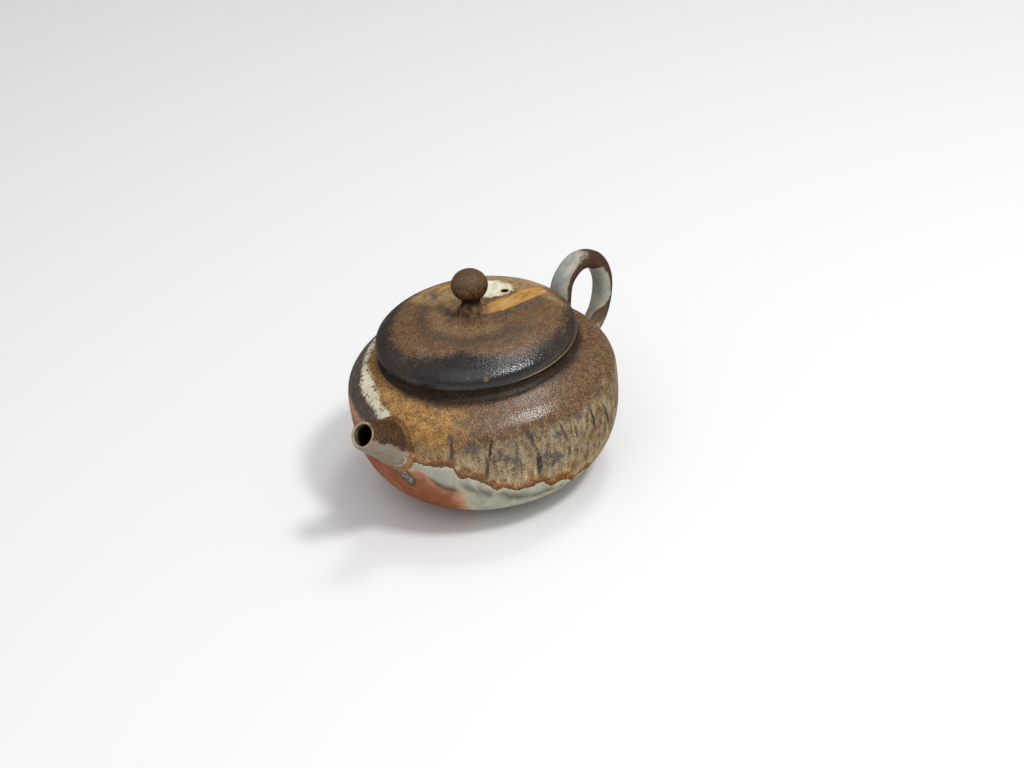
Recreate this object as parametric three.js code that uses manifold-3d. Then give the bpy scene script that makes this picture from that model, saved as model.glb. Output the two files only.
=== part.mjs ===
// Porcelain teapot: a thrown body on a flat turned foot, a low collar, a straight tapered spout
// with a pierced strainer behind it, a side loop handle, and a domed lid with a ball knob.
// Millimetres, +Z up. The origin is on the pot's own axis at table height, the spout points along
// +X and the handle along -X.
import * as THREE from 'three';
import { mergeVertices } from 'three/addons/utils/BufferGeometryUtils.js';
import Module from 'manifold-3d';

const wasm = await Module();
wasm.setup();

// Body: two superellipse halves that meet at the widest ring, cut flat at the foot and the collar
const bodyRadius = 44;
const widestHeight = 32.85;
const shoulderRise = 17.3;
const shoulderFullness = 2.6;
const bellyRunOn = 1.15;
const bellyFullness = 2.81;
const wallThickness = 2.6;
const floorThickness = 3;

// Foot: a flat turned disc with a chamfered edge
const footRadius = 23.4;
const footHeight = 1.2;
const footChamfer = 0.5;

// Collar: the low upright ring round the mouth
const collarRadius = 31.4;
const collarWall = 2.8;
const collarHeight = 3.6;
const collarRounding = 0.5;

// Lid: a dome that overhangs the collar, with a ring under it that drops into the mouth
const lidOverhang = 1.05;
const lidEdgeHeight = 0.8;
const lidDomeHeight = 8.4;
const lidDomeFullness = 2.38;
const lidWall = 2.8;
const flangeWall = 2.2;
const flangeDepth = 5.5;
const flangeClearance = 0.7;
const ventRadius = 1.1;
const ventReach = 16;
const ventDirection = 180;

// Knob: a ball on a short waisted stem
const knobRadius = 5.95;
const knobStemLength = 4;
const knobStemRadius = 3.9;
const knobWaistRadius = 3.4;

// Spout: a straight tapered tube, given by the point where its axis meets the wall
const spoutRootRise = 2.6;
const spoutElevation = 39.2;
const spoutLength = 15.2;
const spoutRootRadius = 6.35;
const spoutTipRadius = 4.46;
const spoutSwell = 0.45;
const spoutFlare = 0.8;
const spoutFlareLength = 4;
const spoutTipWall = 0.9;
const spoutRootWall = 1.6;
const pourHoleRadius = 4.7;

// Strainer: a shallow pierced dome on the inside of the wall, over the pouring hole
const strainerMargin = 1;
const strainerHeight = 4.8;
const strainerWall = 1.4;
const strainerHoleRadius = 0.9;
const strainerHoleLand = 0.4;
const strainerHoleRings = 2;

// Handle: a loop of rounded strap, its centre line given from the widest ring of the body
const handleWidth = 6.9;
const handleThickness = 6.4;
const handleSquareness = 2.5;
const handleRootSwell = 1.18;
const handleSwellPower = 4;
const handleTopOut = 9.1;
const handleTopRise = 18.05;
const handleFarOut = 21.7;
const handleFarRise = 5.4;
const handleBottomOut = 7.5;
const handleBottomDrop = 10.55;
const handleUpperRootRise = 7.5;
const handleLowerRootDrop = 8.6;
const handleRootSink = 4.5;

// Fired joints between clay pieces, and how finely the curves are cut
const jointGap = 0.3;
const roundSteps = 48;
const smallRoundSteps = 24;
const holeSteps = 6;
const profileSteps = 8;
const strainerSteps = 6;
const handleSteps = 32;
const handleSideSteps = 14;

// Sizes that follow from the ones above. The belly's curve would close a little below the table.
const bodyBase = footHeight;
const bellyDepth = widestHeight + bellyRunOn;
const collarShare = collarRadius / bodyRadius;
const collarBase = widestHeight + shoulderRise * superellipse(collarShare, shoulderFullness);
const rimHeight = collarBase + collarHeight;
const mouthRadius = collarRadius - collarWall;
const lidRadius = collarRadius + lidOverhang;
const lidEdgeTop = rimHeight + lidEdgeHeight;
const flangeRadius = mouthRadius - flangeClearance;
const flangeInnerRadius = flangeRadius - flangeWall;
const knobSeatHeight = lidSurface(knobStemRadius);
const pourHoleHalfHeight = pourHoleRadius / Math.cos(THREE.MathUtils.degToRad(spoutElevation));
const strainerInnerRadius = pourHoleHalfHeight + strainerMargin;
const strainerRadius = strainerInnerRadius + strainerWall;
const strainerHoleField = strainerInnerRadius - strainerHoleRadius - strainerHoleLand;

// Height of a unit superellipse quarter at a share of its width
function superellipse(share, fullness) {
  return Math.pow(1 - Math.pow(share, fullness), 1 / fullness);
}

// Height of the lid's outer surface at a radius
function lidSurface(radius) {
  return lidEdgeTop + lidDomeHeight * superellipse(radius / lidRadius, lidDomeFullness);
}

// Radius of the body's outer surface at a height
function bodyRadiusAt(height) {
  const rise = height - widestHeight;
  const reach = rise > 0 ? shoulderRise : bellyDepth;
  const fullness = rise > 0 ? shoulderFullness : bellyFullness;
  return bodyRadius * superellipse(Math.abs(rise) / reach, fullness);
}

// Points of one half of the body's curve, inset by a wall, from the widest ring to an end height
function bodyCurve(inset, reach, fullness, endRise) {
  const endAngle = Math.asin(Math.pow(Math.abs(endRise) / (reach - inset), fullness / 2));
  const points = [];
  for (let step = 0; step <= profileSteps; step += 1) {
    const angle = (endAngle * step) / profileSteps;
    const radius = (bodyRadius - inset) * Math.pow(Math.cos(angle), 2 / fullness);
    const rise = (reach - inset) * Math.pow(Math.sin(angle), 2 / fullness) * Math.sign(endRise);
    points.push(new THREE.Vector2(radius, widestHeight + rise));
  }
  return points;
}

// The whole curve from a low height to a high one, inset by a wall
function bodySide(inset, lowHeight, highHeight) {
  const lower = bodyCurve(inset, bellyDepth, bellyFullness, lowHeight - widestHeight);
  const upper = bodyCurve(inset, shoulderRise, shoulderFullness, highHeight - widestHeight);
  return [...lower.reverse(), ...upper.slice(1)];
}

// A solid of revolution about +Z from a profile of radius and height, listed anticlockwise
function turned(profile, steps) {
  const closed = profile.map((point) => new THREE.Vector2(point.x, point.y));
  if (closed[0].x > 0) {
    closed.push(closed[0].clone());
  }
  return new THREE.LatheGeometry(closed, steps).rotateX(Math.PI / 2);
}

// Between three.js geometry and a solid that can be joined and cut
function toSolid(geometry) {
  const bare = geometry.clone();
  bare.deleteAttribute('normal');
  bare.deleteAttribute('uv');
  const merged = mergeVertices(bare, 1e-4);
  return new wasm.Manifold(
    new wasm.Mesh({
      numProp: 3,
      vertProperties: merged.attributes.position.array,
      triVerts: new Uint32Array(merged.index.array),
    }),
  );
}

function toGeometry(solid) {
  const mesh = solid.getMesh();
  const geometry = new THREE.BufferGeometry();
  geometry.setAttribute('position', new THREE.BufferAttribute(mesh.vertProperties, mesh.numProp));
  geometry.setIndex(new THREE.BufferAttribute(mesh.triVerts, 1));
  const flat = geometry.toNonIndexed();
  flat.computeVertexNormals();
  return flat;
}

// The body as a filled lump, grown by the fired joint, which trims what is joined on outside
function filledBody() {
  const side = bodySide(-jointGap, bodyBase, collarBase - jointGap);
  const profile = [new THREE.Vector2(0, bodyBase), ...side, new THREE.Vector2(0, collarBase)];
  return toSolid(turned(profile, roundSteps));
}

// The chamber as a lump, shrunk by the fired joint, which trims the strainer inside
function filledChamber() {
  const inset = wallThickness + jointGap;
  const side = bodySide(inset, bodyBase + floorThickness, widestHeight + shoulderRise / 2);
  const ends = [side[0].y, side[side.length - 1].y];
  const profile = [new THREE.Vector2(0, ends[0]), ...side, new THREE.Vector2(0, ends[1])];
  return toSolid(turned(profile, roundSteps));
}

// The spout's own frame: its axis is local +Z, and its local origin is on the body's wall
const spoutRoot = new THREE.Vector3(
  bodyRadiusAt(widestHeight + spoutRootRise),
  0,
  widestHeight + spoutRootRise,
);
const spoutTurn = THREE.MathUtils.degToRad(90 - spoutElevation);

function intoSpoutFrame(geometry) {
  return geometry.rotateY(spoutTurn).translate(spoutRoot.x, spoutRoot.y, spoutRoot.z);
}

function bodyShell() {
  const outside = bodySide(0, bodyBase, collarBase);
  const innerTop = collarBase - wallThickness;
  const inside = bodySide(wallThickness, bodyBase + floorThickness, innerTop).reverse();
  const profile = [
    new THREE.Vector2(0, bodyBase),
    ...outside,
    new THREE.Vector2(mouthRadius, collarBase),
    new THREE.Vector2(mouthRadius, innerTop),
    ...inside.filter((point) => point.x > mouthRadius || point.y < widestHeight),
    new THREE.Vector2(0, bodyBase + floorThickness),
  ];
  const wall = toSolid(turned(profile, roundSteps));
  const drillLength = 6 * wallThickness;
  const drill = new THREE.CylinderGeometry(
    pourHoleRadius,
    pourHoleRadius,
    drillLength,
    smallRoundSteps,
  );
  const hole = toSolid(intoSpoutFrame(drill.rotateX(Math.PI / 2)));
  return toGeometry(wall.subtract(hole));
}

function footDisc() {
  const profile = [
    new THREE.Vector2(0, 0),
    new THREE.Vector2(footRadius - footChamfer, 0),
    new THREE.Vector2(footRadius, footChamfer),
    new THREE.Vector2(footRadius, footHeight),
    new THREE.Vector2(0, footHeight),
  ];
  return turned(profile, roundSteps);
}

function neckCollar() {
  const profile = [
    new THREE.Vector2(mouthRadius, collarBase),
    new THREE.Vector2(collarRadius, collarBase),
    new THREE.Vector2(collarRadius, rimHeight - collarRounding),
    new THREE.Vector2(collarRadius - collarRounding, rimHeight),
    new THREE.Vector2(mouthRadius + collarRounding, rimHeight),
    new THREE.Vector2(mouthRadius, rimHeight - collarRounding),
  ];
  return turned(profile, roundSteps);
}

// Outer radius along the spout: a taper with a little swell, and a flare where it meets the wall
function spoutOuterRadius(distance) {
  const share = Math.max(0, distance) / spoutLength;
  const taper = spoutRootRadius + (spoutTipRadius - spoutRootRadius) * share;
  const swell = spoutSwell * 4 * share * (1 - share);
  const nearRoot = THREE.MathUtils.clamp(1 - distance / spoutFlareLength, 0, 1);
  return taper + swell + spoutFlare * nearRoot * nearRoot;
}

function spoutTube() {
  const start = -2 * spoutFlareLength;
  const outer = [];
  const bore = [];
  for (let step = 0; step <= profileSteps; step += 1) {
    const share = step / profileSteps;
    const distance = start + (spoutLength - start) * share;
    const wall = spoutRootWall + (spoutTipWall - spoutRootWall) * share;
    outer.push(new THREE.Vector2(spoutOuterRadius(distance), distance));
    const boreRadius = Math.min(spoutOuterRadius(distance) - wall, pourHoleRadius);
    bore.push(new THREE.Vector2(boreRadius, distance));
  }
  const tube = toSolid(intoSpoutFrame(turned([...outer, ...bore.reverse()], smallRoundSteps)));
  return toGeometry(tube.subtract(filledBody()));
}

// Points of a pattern of rings round a middle point, out to the radius of a field
function ringPattern(rings, fieldRadius) {
  const points = [new THREE.Vector2(0, 0)];
  for (let ring = 1; ring <= rings; ring += 1) {
    const count = 6 * ring;
    const reach = (fieldRadius * ring) / rings;
    for (let place = 0; place < count; place += 1) {
      const angle = (2 * Math.PI * place) / count;
      points.push(new THREE.Vector2(reach * Math.cos(angle), reach * Math.sin(angle)));
    }
  }
  return points;
}

// Half of a shallow dome's section, from its top to its rim, for a base radius and a height
function domeArc(baseRadius, height) {
  const sphereRadius = (baseRadius * baseRadius + height * height) / (2 * height);
  const rimAngle = Math.asin(baseRadius / sphereRadius);
  const points = [];
  for (let step = 0; step <= strainerSteps; step += 1) {
    const angle = (rimAngle * step) / strainerSteps;
    const drop = sphereRadius * (1 - Math.cos(angle));
    points.push(new THREE.Vector2(sphereRadius * Math.sin(angle), height - drop));
  }
  return points;
}

function spoutStrainer() {
  const boreSlope = Math.tan(THREE.MathUtils.degToRad(spoutElevation));
  const wallRadius = bodyRadius - wallThickness;
  const middleHeight = spoutRoot.z - boreSlope * (spoutRoot.x - wallRadius);
  const skirt = 2 * wallThickness;
  const outerArc = domeArc(strainerRadius, strainerHeight);
  const innerArc = domeArc(strainerInnerRadius, strainerHeight - strainerWall);
  const profile = [
    ...innerArc,
    new THREE.Vector2(strainerInnerRadius, -skirt),
    new THREE.Vector2(strainerRadius, -skirt),
    ...outerArc.reverse(),
  ];
  let dome = toSolid(
    turned(profile, smallRoundSteps).rotateY(-Math.PI / 2).translate(wallRadius, 0, middleHeight),
  );
  for (const place of ringPattern(strainerHoleRings, strainerHoleField)) {
    const needle = new THREE.CylinderGeometry(
      strainerHoleRadius,
      strainerHoleRadius,
      4 * strainerHeight,
      holeSteps,
    );
    needle.rotateZ(Math.PI / 2).translate(wallRadius, place.x, middleHeight + place.y);
    dome = dome.subtract(toSolid(needle));
  }
  return toGeometry(dome.intersect(filledChamber()));
}

// A point past the end of a line, further from the point before it
function runOn(end, before, distance) {
  return end.clone().addScaledVector(end.clone().sub(before).normalize(), distance);
}

// The handle's centre line, from its upper root on the wall round to its lower root, with both
// ends run on into the clay
function handleCentreLine() {
  const upperRoot = widestHeight + handleUpperRootRise;
  const lowerRoot = widestHeight - handleLowerRootDrop;
  const top = widestHeight + handleTopRise;
  const far = widestHeight + handleFarRise;
  const bottom = widestHeight - handleBottomDrop;
  const quarter = Math.SQRT1_2;
  const topOut = bodyRadius + handleTopOut;
  const farOut = bodyRadius + handleFarOut;
  const bottomOut = bodyRadius + handleBottomOut;
  const upperRootOut = bodyRadiusAt(upperRoot);
  const places = [
    [upperRootOut, upperRoot],
    [topOut - (topOut - upperRootOut) * quarter, upperRoot + (top - upperRoot) * quarter],
    [topOut, top],
    [topOut + (farOut - topOut) * quarter, far + (top - far) * quarter],
    [farOut, far],
    [bottomOut + (farOut - bottomOut) * quarter, far - (far - bottom) * quarter],
    [bottomOut, bottom],
    [bodyRadiusAt(lowerRoot), lowerRoot],
  ];
  const points = places.map(([out, height]) => new THREE.Vector3(-out, 0, height));
  const first = runOn(points[0], points[1], handleRootSink);
  const last = runOn(points[points.length - 1], points[points.length - 2], handleRootSink);
  return new THREE.CatmullRomCurve3([first, ...points, last], false, 'centripetal');
}

// A rounded strap section between an ellipse and a rectangle
function strapSection() {
  const section = new THREE.Shape();
  for (let step = 0; step < handleSideSteps; step += 1) {
    const angle = (2 * Math.PI * step) / handleSideSteps;
    const power = 2 / handleSquareness;
    const across = Math.sign(Math.cos(angle)) * Math.pow(Math.abs(Math.cos(angle)), power);
    const up = Math.sign(Math.sin(angle)) * Math.pow(Math.abs(Math.sin(angle)), power);
    const x = (across * handleWidth) / 2;
    const y = (up * handleThickness) / 2;
    if (step === 0) {
      section.moveTo(x, y);
    } else {
      section.lineTo(x, y);
    }
  }
  section.closePath();
  return section;
}

// The straight strap is extruded to unit length, then bent along the centre line and swollen
// towards both roots
function handleLoop() {
  const strap = new THREE.ExtrudeGeometry(strapSection(), {
    depth: 1,
    steps: handleSteps,
    bevelEnabled: false,
  });
  const line = handleCentreLine();
  const sideways = new THREE.Vector3(0, 1, 0);
  const position = strap.getAttribute('position');
  for (let index = 0; index < position.count; index += 1) {
    const share = THREE.MathUtils.clamp(position.getZ(index), 0, 1);
    const tangent = line.getTangentAt(share);
    const outward = new THREE.Vector3().crossVectors(tangent, sideways);
    const ends = Math.pow(Math.abs(2 * share - 1), handleSwellPower);
    const swell = 1 + (handleRootSwell - 1) * ends;
    const place = line
      .getPointAt(share)
      .addScaledVector(sideways, position.getX(index) * swell)
      .addScaledVector(outward, position.getY(index) * swell);
    position.setXYZ(index, place.x, place.y, place.z);
  }
  return toGeometry(toSolid(strap).subtract(filledBody()));
}

function lidDome() {
  const topArc = [];
  const underArc = [];
  const hollowHeight = lidEdgeHeight + lidDomeHeight - lidWall;
  for (let step = 0; step <= profileSteps; step += 1) {
    const angle = (Math.PI / 2) * (step / profileSteps);
    const along = Math.pow(Math.cos(angle), 2 / lidDomeFullness);
    const up = Math.pow(Math.sin(angle), 2 / lidDomeFullness);
    topArc.push(new THREE.Vector2(lidRadius * along, lidEdgeTop + lidDomeHeight * up));
    underArc.push(new THREE.Vector2(flangeInnerRadius * along, rimHeight + hollowHeight * up));
  }
  const edgeRound = lidEdgeHeight / 2;
  const profile = [
    new THREE.Vector2(0, rimHeight + hollowHeight),
    ...underArc.slice(0, -1).reverse(),
    new THREE.Vector2(lidRadius - edgeRound, rimHeight),
    new THREE.Vector2(lidRadius, rimHeight + edgeRound),
    ...topArc.filter((point) => point.x > knobStemRadius),
    new THREE.Vector2(knobStemRadius, knobSeatHeight),
    new THREE.Vector2(0, knobSeatHeight),
  ];
  const dome = toSolid(turned(profile, roundSteps));
  const direction = THREE.MathUtils.degToRad(ventDirection);
  const drill = new THREE.CylinderGeometry(ventRadius, ventRadius, 4 * lidDomeHeight, holeSteps);
  drill.rotateX(Math.PI / 2);
  drill.translate(ventReach * Math.cos(direction), ventReach * Math.sin(direction), lidEdgeTop);
  return toGeometry(dome.subtract(toSolid(drill)));
}

function lidFlange() {
  const profile = [
    new THREE.Vector2(flangeInnerRadius, rimHeight - flangeDepth),
    new THREE.Vector2(flangeRadius, rimHeight - flangeDepth),
    new THREE.Vector2(flangeRadius, rimHeight),
    new THREE.Vector2(flangeInnerRadius, rimHeight),
  ];
  return turned(profile, roundSteps);
}

function lidKnob() {
  const ballRise = Math.sqrt(knobRadius * knobRadius - knobWaistRadius * knobWaistRadius);
  const ballHeight = knobSeatHeight + knobStemLength + ballRise;
  const ballStart = -Math.acos(knobWaistRadius / knobRadius);
  const ball = [];
  for (let step = 0; step <= profileSteps; step += 1) {
    const angle = ballStart + ((Math.PI / 2 - ballStart) * step) / profileSteps;
    const radius = step === profileSteps ? 0 : knobRadius * Math.cos(angle);
    ball.push(new THREE.Vector2(radius, ballHeight + knobRadius * Math.sin(angle)));
  }
  const profile = [
    new THREE.Vector2(0, knobSeatHeight),
    new THREE.Vector2(knobStemRadius, knobSeatHeight),
    new THREE.Vector2(knobWaistRadius, knobSeatHeight + knobStemLength / 2),
    ...ball,
  ];
  return turned(profile, smallRoundSteps);
}

// Glazes and clays as seen: ash brown, celadon, charcoal and bare flashed clay
function clay(colour, roughness) {
  return new THREE.MeshStandardMaterial({ color: colour, roughness, metalness: 0 });
}

function named(name, geometry, material) {
  const mesh = new THREE.Mesh(geometry, material);
  mesh.name = name;
  return mesh;
}

const pot = new THREE.Group();
pot.add(
  named('body_shell', bodyShell(), clay(0x7d6a54, 0.42)),
  named('foot_disc', footDisc(), clay(0xb98a6c, 0.85)),
  named('neck_collar', neckCollar(), clay(0x3d3329, 0.5)),
  named('spout', spoutTube(), clay(0x5b4a3b, 0.45)),
  named('spout_strainer', spoutStrainer(), clay(0xc9c6b4, 0.3)),
  named('handle', handleLoop(), clay(0xb3ad9c, 0.38)),
);

const lid = new THREE.Group();
lid.add(
  named('lid_dome', lidDome(), clay(0x6f5945, 0.45)),
  named('lid_flange', lidFlange(), clay(0xcfc3ae, 0.7)),
  named('lid_knob', lidKnob(), clay(0x4f4136, 0.5)),
);

const teapot = new THREE.Group();
teapot.add(pot, lid);

export default teapot;
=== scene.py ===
"""Looks of a small wood-fired porcelain teapot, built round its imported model.

Lengths are millimetres in the part's own frame, except where a name or docstring says metres:
the pot's axis is +Z, the table is at height 0, the spout points along +X, the handle along -X.
Azimuths are degrees round +Z, from 0 at the spout towards +Y. Marks that the photograph shows are
kept as pixels of its 1024 x 768 frame, and the camera's own rays carry them to the pot.
"""
import logging
import math
from dataclasses import dataclass, replace
from enum import Enum
from functools import cache
from typing import Callable, ClassVar, Optional, Sequence, Union

import bpy
import numpy as np
from bpy.types import Material, Node, NodeTree, Object
from mathutils import Matrix, Vector
from numpy import ndarray as Array


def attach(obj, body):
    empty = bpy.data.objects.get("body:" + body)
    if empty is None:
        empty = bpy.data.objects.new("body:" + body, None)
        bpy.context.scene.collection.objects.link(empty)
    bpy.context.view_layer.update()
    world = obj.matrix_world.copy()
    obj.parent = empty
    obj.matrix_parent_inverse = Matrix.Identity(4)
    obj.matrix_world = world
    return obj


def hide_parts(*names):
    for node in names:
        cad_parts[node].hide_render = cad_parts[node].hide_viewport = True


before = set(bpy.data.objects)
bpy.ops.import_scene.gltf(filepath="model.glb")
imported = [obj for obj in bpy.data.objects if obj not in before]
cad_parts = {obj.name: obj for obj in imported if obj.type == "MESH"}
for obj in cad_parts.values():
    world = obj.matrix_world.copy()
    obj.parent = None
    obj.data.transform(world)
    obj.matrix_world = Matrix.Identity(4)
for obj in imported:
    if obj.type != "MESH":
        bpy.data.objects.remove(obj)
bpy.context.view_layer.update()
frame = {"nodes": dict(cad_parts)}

MM = 0.001
TURN = 360.0
SIDEWAYS = np.array([0.0, 1.0, 0.0])
GLANCE = (0.2, 0.55)
GLANCE_SHEEN = 0.15
LAMP_AIM = 0.03
log = logging.getLogger("teapot")

Feed = Union["Wire", "Tone", float, Sequence[float]]
Knots = Sequence[tuple[float, float]]


# Shaping helpers


def ease(value: Array, start: float, end: float) -> Array:
    """3t^2 - 2t^3 of the clipped share t of the way from start to end, which may run downwards."""
    share = np.clip((value - start) / (end - start), 0.0, 1.0)
    return share * share * (3.0 - 2.0 * share)


def lattice_value(corners: Array, seed: int) -> Array:
    """Repeatable share between 0 and 1 for each lattice point, by mixing bits.

    Args:
        corners: (..., 3) whole numbers.
        seed: picks one pattern of many.

    Returns:
        One share for each.
    """
    mask = 0xFFFFFFFF
    mixed = corners[..., 0] * 374761393 + corners[..., 1] * 668265263
    mixed = (mixed + corners[..., 2] * 1103515245 + seed * 974634777) & mask
    mixed = ((mixed ^ (mixed >> 13)) * 1274126177) & mask
    return ((mixed ^ (mixed >> 16)) & 0xFFFF) / 65535.0


def wander(points: Array, lump: float, seed: int, octaves: int = 2) -> Array:
    """Smooth noise between about -1 and 1: random lattice values blended along three axes.

    Args:
        points: (n, 3) places.
        lump: width of its largest lumps.
        seed: picks one pattern of many.
        octaves: layers, each half as wide and half as strong as the last.

    Returns:
        One value for each point.
    """
    total = np.zeros(len(points))
    weight = 1.0
    reach = 0.0
    for layer in range(octaves):
        scaled = points / lump * 2.0**layer + 17.3 * (layer + 1)
        cell = np.floor(scaled).astype(np.int64)
        part = scaled - cell
        part = part * part * (3.0 - 2.0 * part)
        value = np.zeros(len(points))
        for corner in np.ndindex(2, 2, 2):
            side = np.array(corner)
            share = np.prod(np.where(side == 1, part, 1.0 - part), axis=1)
            value += share * lattice_value(cell + side, seed + layer)
        total += weight * (2.0 * value - 1.0)
        reach += weight
        weight *= 0.5
    return total / reach * 1.6


def resampled(line: Array, spacing: float) -> Array:
    """Evenly spaced points along a line, both ends kept.

    Args:
        line: (n, d) points of the line.
        spacing: greatest distance between neighbours.

    Returns:
        (m, d) points.
    """
    steps = np.linalg.norm(np.diff(line, axis=0), axis=1)
    length = np.concatenate([[0.0], np.cumsum(steps)])
    count = max(2, int(math.ceil(length[-1] / spacing)) + 1)
    places = np.linspace(0.0, length[-1], count)
    return np.stack([np.interp(places, length, row) for row in line.T], axis=1)


def ring_line(azimuth: Array, knots: Knots, spread: float = 3.0) -> Array:
    """Straight joins between knots round the pot, averaged over a spread.

    Args:
        azimuth: where the line is wanted.
        knots: (azimuth, value) pairs.
        spread: degrees to each side.

    Returns:
        One value for each azimuth.
    """
    angles, values = np.array(knots).T
    around = np.asarray(azimuth)[..., None] + spread * np.linspace(-1.0, 1.0, 5)
    return np.interp(around, angles, values, period=TURN).mean(axis=-1)


def apart(azimuth: Array, other: Union[float, Array]) -> Array:
    """Signed degrees from one azimuth to others, the short way round."""
    return (np.asarray(azimuth) - other + TURN / 2) % TURN - TURN / 2


def radius_of(points: Array) -> Array:
    """Distance of (..., 3) points from the pot's axis."""
    return np.hypot(points[..., 0], points[..., 1])


def azimuth_of(points: Array) -> Array:
    """Azimuth of (..., 3) points, from -180 to 180 degrees."""
    return np.degrees(np.arctan2(points[..., 1], points[..., 0]))


def full_turn(columns: int) -> Array:
    """Angles of evenly spaced columns once round, in radians."""
    return np.linspace(0.0, 2.0 * math.pi, columns, endpoint=False)


def bell(value: Array, middle: float, width: Union[float, Array]) -> Array:
    """A bell curve: exp(-((value - middle) / width)^2)."""
    return np.exp(-(((value - middle) / width) ** 2))


def line_distance(places: Array, line: Knots) -> Array:
    """Distance of (n, 2) places from a line through points, the least over its pieces."""
    ends = np.array(line, dtype=float)
    start, step = ends[:-1], np.diff(ends, axis=0)
    away = places[:, None] - start
    share = np.clip((away * step).sum(axis=2) / (step * step).sum(axis=1), 0.0, 1.0)
    return np.linalg.norm(away - share[..., None] * step, axis=2).min(axis=1)


def superellipse(share: Array, fullness: float) -> Array:
    """Height of a unit superellipse quarter at a share of its width: (1 - share^n)^(1/n)."""
    return np.power(np.clip(1.0 - np.power(share, fullness), 0.0, 1.0), 1.0 / fullness)


def quarter_arc(width: float, height: float, fullness: float, steps: int = 240) -> Array:
    """A superellipse quarter: (width cos^(2/n) t, height sin^(2/n) t), t from 0 to 90 degrees.

    Args:
        width: half width.
        height: height.
        fullness: the exponent n.
        steps: points on the arc.

    Returns:
        (steps, 2) points from the side to the top.
    """
    angle = np.linspace(0.0, math.pi / 2, steps)
    power = 2.0 / fullness
    along = width * np.power(np.clip(np.cos(angle), 0.0, 1.0), power)
    up = height * np.power(np.sin(angle), power)
    return np.stack([along, up], axis=1)


def round_arc(centre: tuple[float, float], radius: float, start: float, end: float) -> Array:
    """Points of a circular arc in a profile, from one angle to another, in degrees."""
    angle = np.radians(np.linspace(start, end, 9))
    return np.stack([centre[0] + radius * np.cos(angle), centre[1] + radius * np.sin(angle)], axis=1)


# Closed skins and their meshes


@dataclass
class Skin:
    """A closed skin of points and faces, in millimetres."""

    points: Array
    quads: Array
    corners: Array

    @classmethod
    def from_grid(cls, grid: Array, ring: bool) -> "Skin":
        """Joins rows of points that each go once round into a closed skin, faces outwards.

        Args:
            grid: (rows, columns, 3) points.
            ring: joins the last row to the first; otherwise a fan closes each end.

        Returns:
            The skin.
        """
        rows, columns = grid.shape[:2]
        points = grid.reshape(-1, 3)
        index = np.arange(rows * columns).reshape(rows, columns)
        after = np.roll(index, -1, axis=1)
        if ring:
            above, above_after = np.roll(index, -1, axis=0), np.roll(after, -1, axis=0)
            lower, lower_after = index, after
        else:
            above, above_after = index[1:], after[1:]
            lower, lower_after = index[:-1], after[:-1]
        quads = np.stack([lower, lower_after, above_after, above], axis=-1).reshape(-1, 4)
        corners = np.zeros((0, 3), dtype=np.int64)
        if not ring:
            first, last = len(points), len(points) + 1
            points = np.concatenate([points, grid[0].mean(0)[None], grid[-1].mean(0)[None]])
            bottom = np.stack([np.full(columns, first), after[0], index[0]], axis=1)
            top = np.stack([np.full(columns, last), index[-1], after[-1]], axis=1)
            corners = np.concatenate([bottom, top])
        return cls(points, quads, corners).outward()

    @classmethod
    def turned(cls, profile: Array, columns: int, ring: bool) -> "Skin":
        """A profile of (radius, height) points turned about +Z: (r cos a, r sin a, z)."""
        angle = full_turn(columns)
        radius, height = profile[:, :1], profile[:, 1:]
        across, along = radius * np.cos(angle), radius * np.sin(angle)
        return cls.from_grid(np.stack([across, along, height + 0.0 * across], axis=-1), ring)

    def volume(self) -> float:
        """Signed volume: a sixth of the sum of a . (b x c) over all triangles."""
        first, second = self.quads[:, [0, 1, 2]], self.quads[:, [0, 2, 3]]
        a, b, c = self.points[np.concatenate([first, second, self.corners])].transpose(1, 0, 2)
        return float(np.einsum("ij,ij->i", a, np.cross(b, c)).sum() / 6.0)

    def outward(self) -> "Skin":
        """The same skin with its faces turned outwards."""
        if self.volume() > 0.0:
            return self
        return Skin(self.points, self.quads[:, ::-1], self.corners[:, ::-1])

    def to_object(self, name: str) -> Object:
        """Puts the skin into a smooth-shaded mesh object, in metres.

        Args:
            name: name of the object and its mesh.

        Returns:
            The object.
        """
        loops = np.concatenate([self.quads.ravel(), self.corners.ravel()])
        quad_starts = np.arange(len(self.quads)) * 4
        corner_starts = len(self.quads) * 4 + np.arange(len(self.corners)) * 3
        mesh = bpy.data.meshes.new(name)
        mesh.vertices.add(len(self.points))
        mesh.vertices.foreach_set("co", (self.points * MM).astype(np.float32).ravel())
        mesh.loops.add(len(loops))
        mesh.loops.foreach_set("vertex_index", loops.astype(np.int32))
        mesh.polygons.add(len(self.quads) + len(self.corners))
        starts = np.concatenate([quad_starts, corner_starts]).astype(np.int32)
        mesh.polygons.foreach_set("loop_start", starts)
        mesh.update(calc_edges=True)
        mesh.validate()
        mesh.shade_smooth()
        return add_object(name, mesh)


def add_object(name: str, data: bpy.types.ID) -> Object:
    """A new object in the scene."""
    made = bpy.data.objects.new(name, data)
    bpy.context.scene.collection.objects.link(made)
    return made


def places_of(made: Object) -> Array:
    """(n, 3) vertices of an object's mesh, in millimetres."""
    flat = np.zeros(len(made.data.vertices) * 3, dtype=np.float32)
    made.data.vertices.foreach_get("co", flat)
    return flat.reshape(-1, 3).astype(float) / MM


def move_to(made: Object, points: Array) -> None:
    """Sets an object's vertices to (n, 3) points in millimetres."""
    made.data.vertices.foreach_set("co", (points * MM).astype(np.float32).ravel())
    made.data.update()


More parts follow.
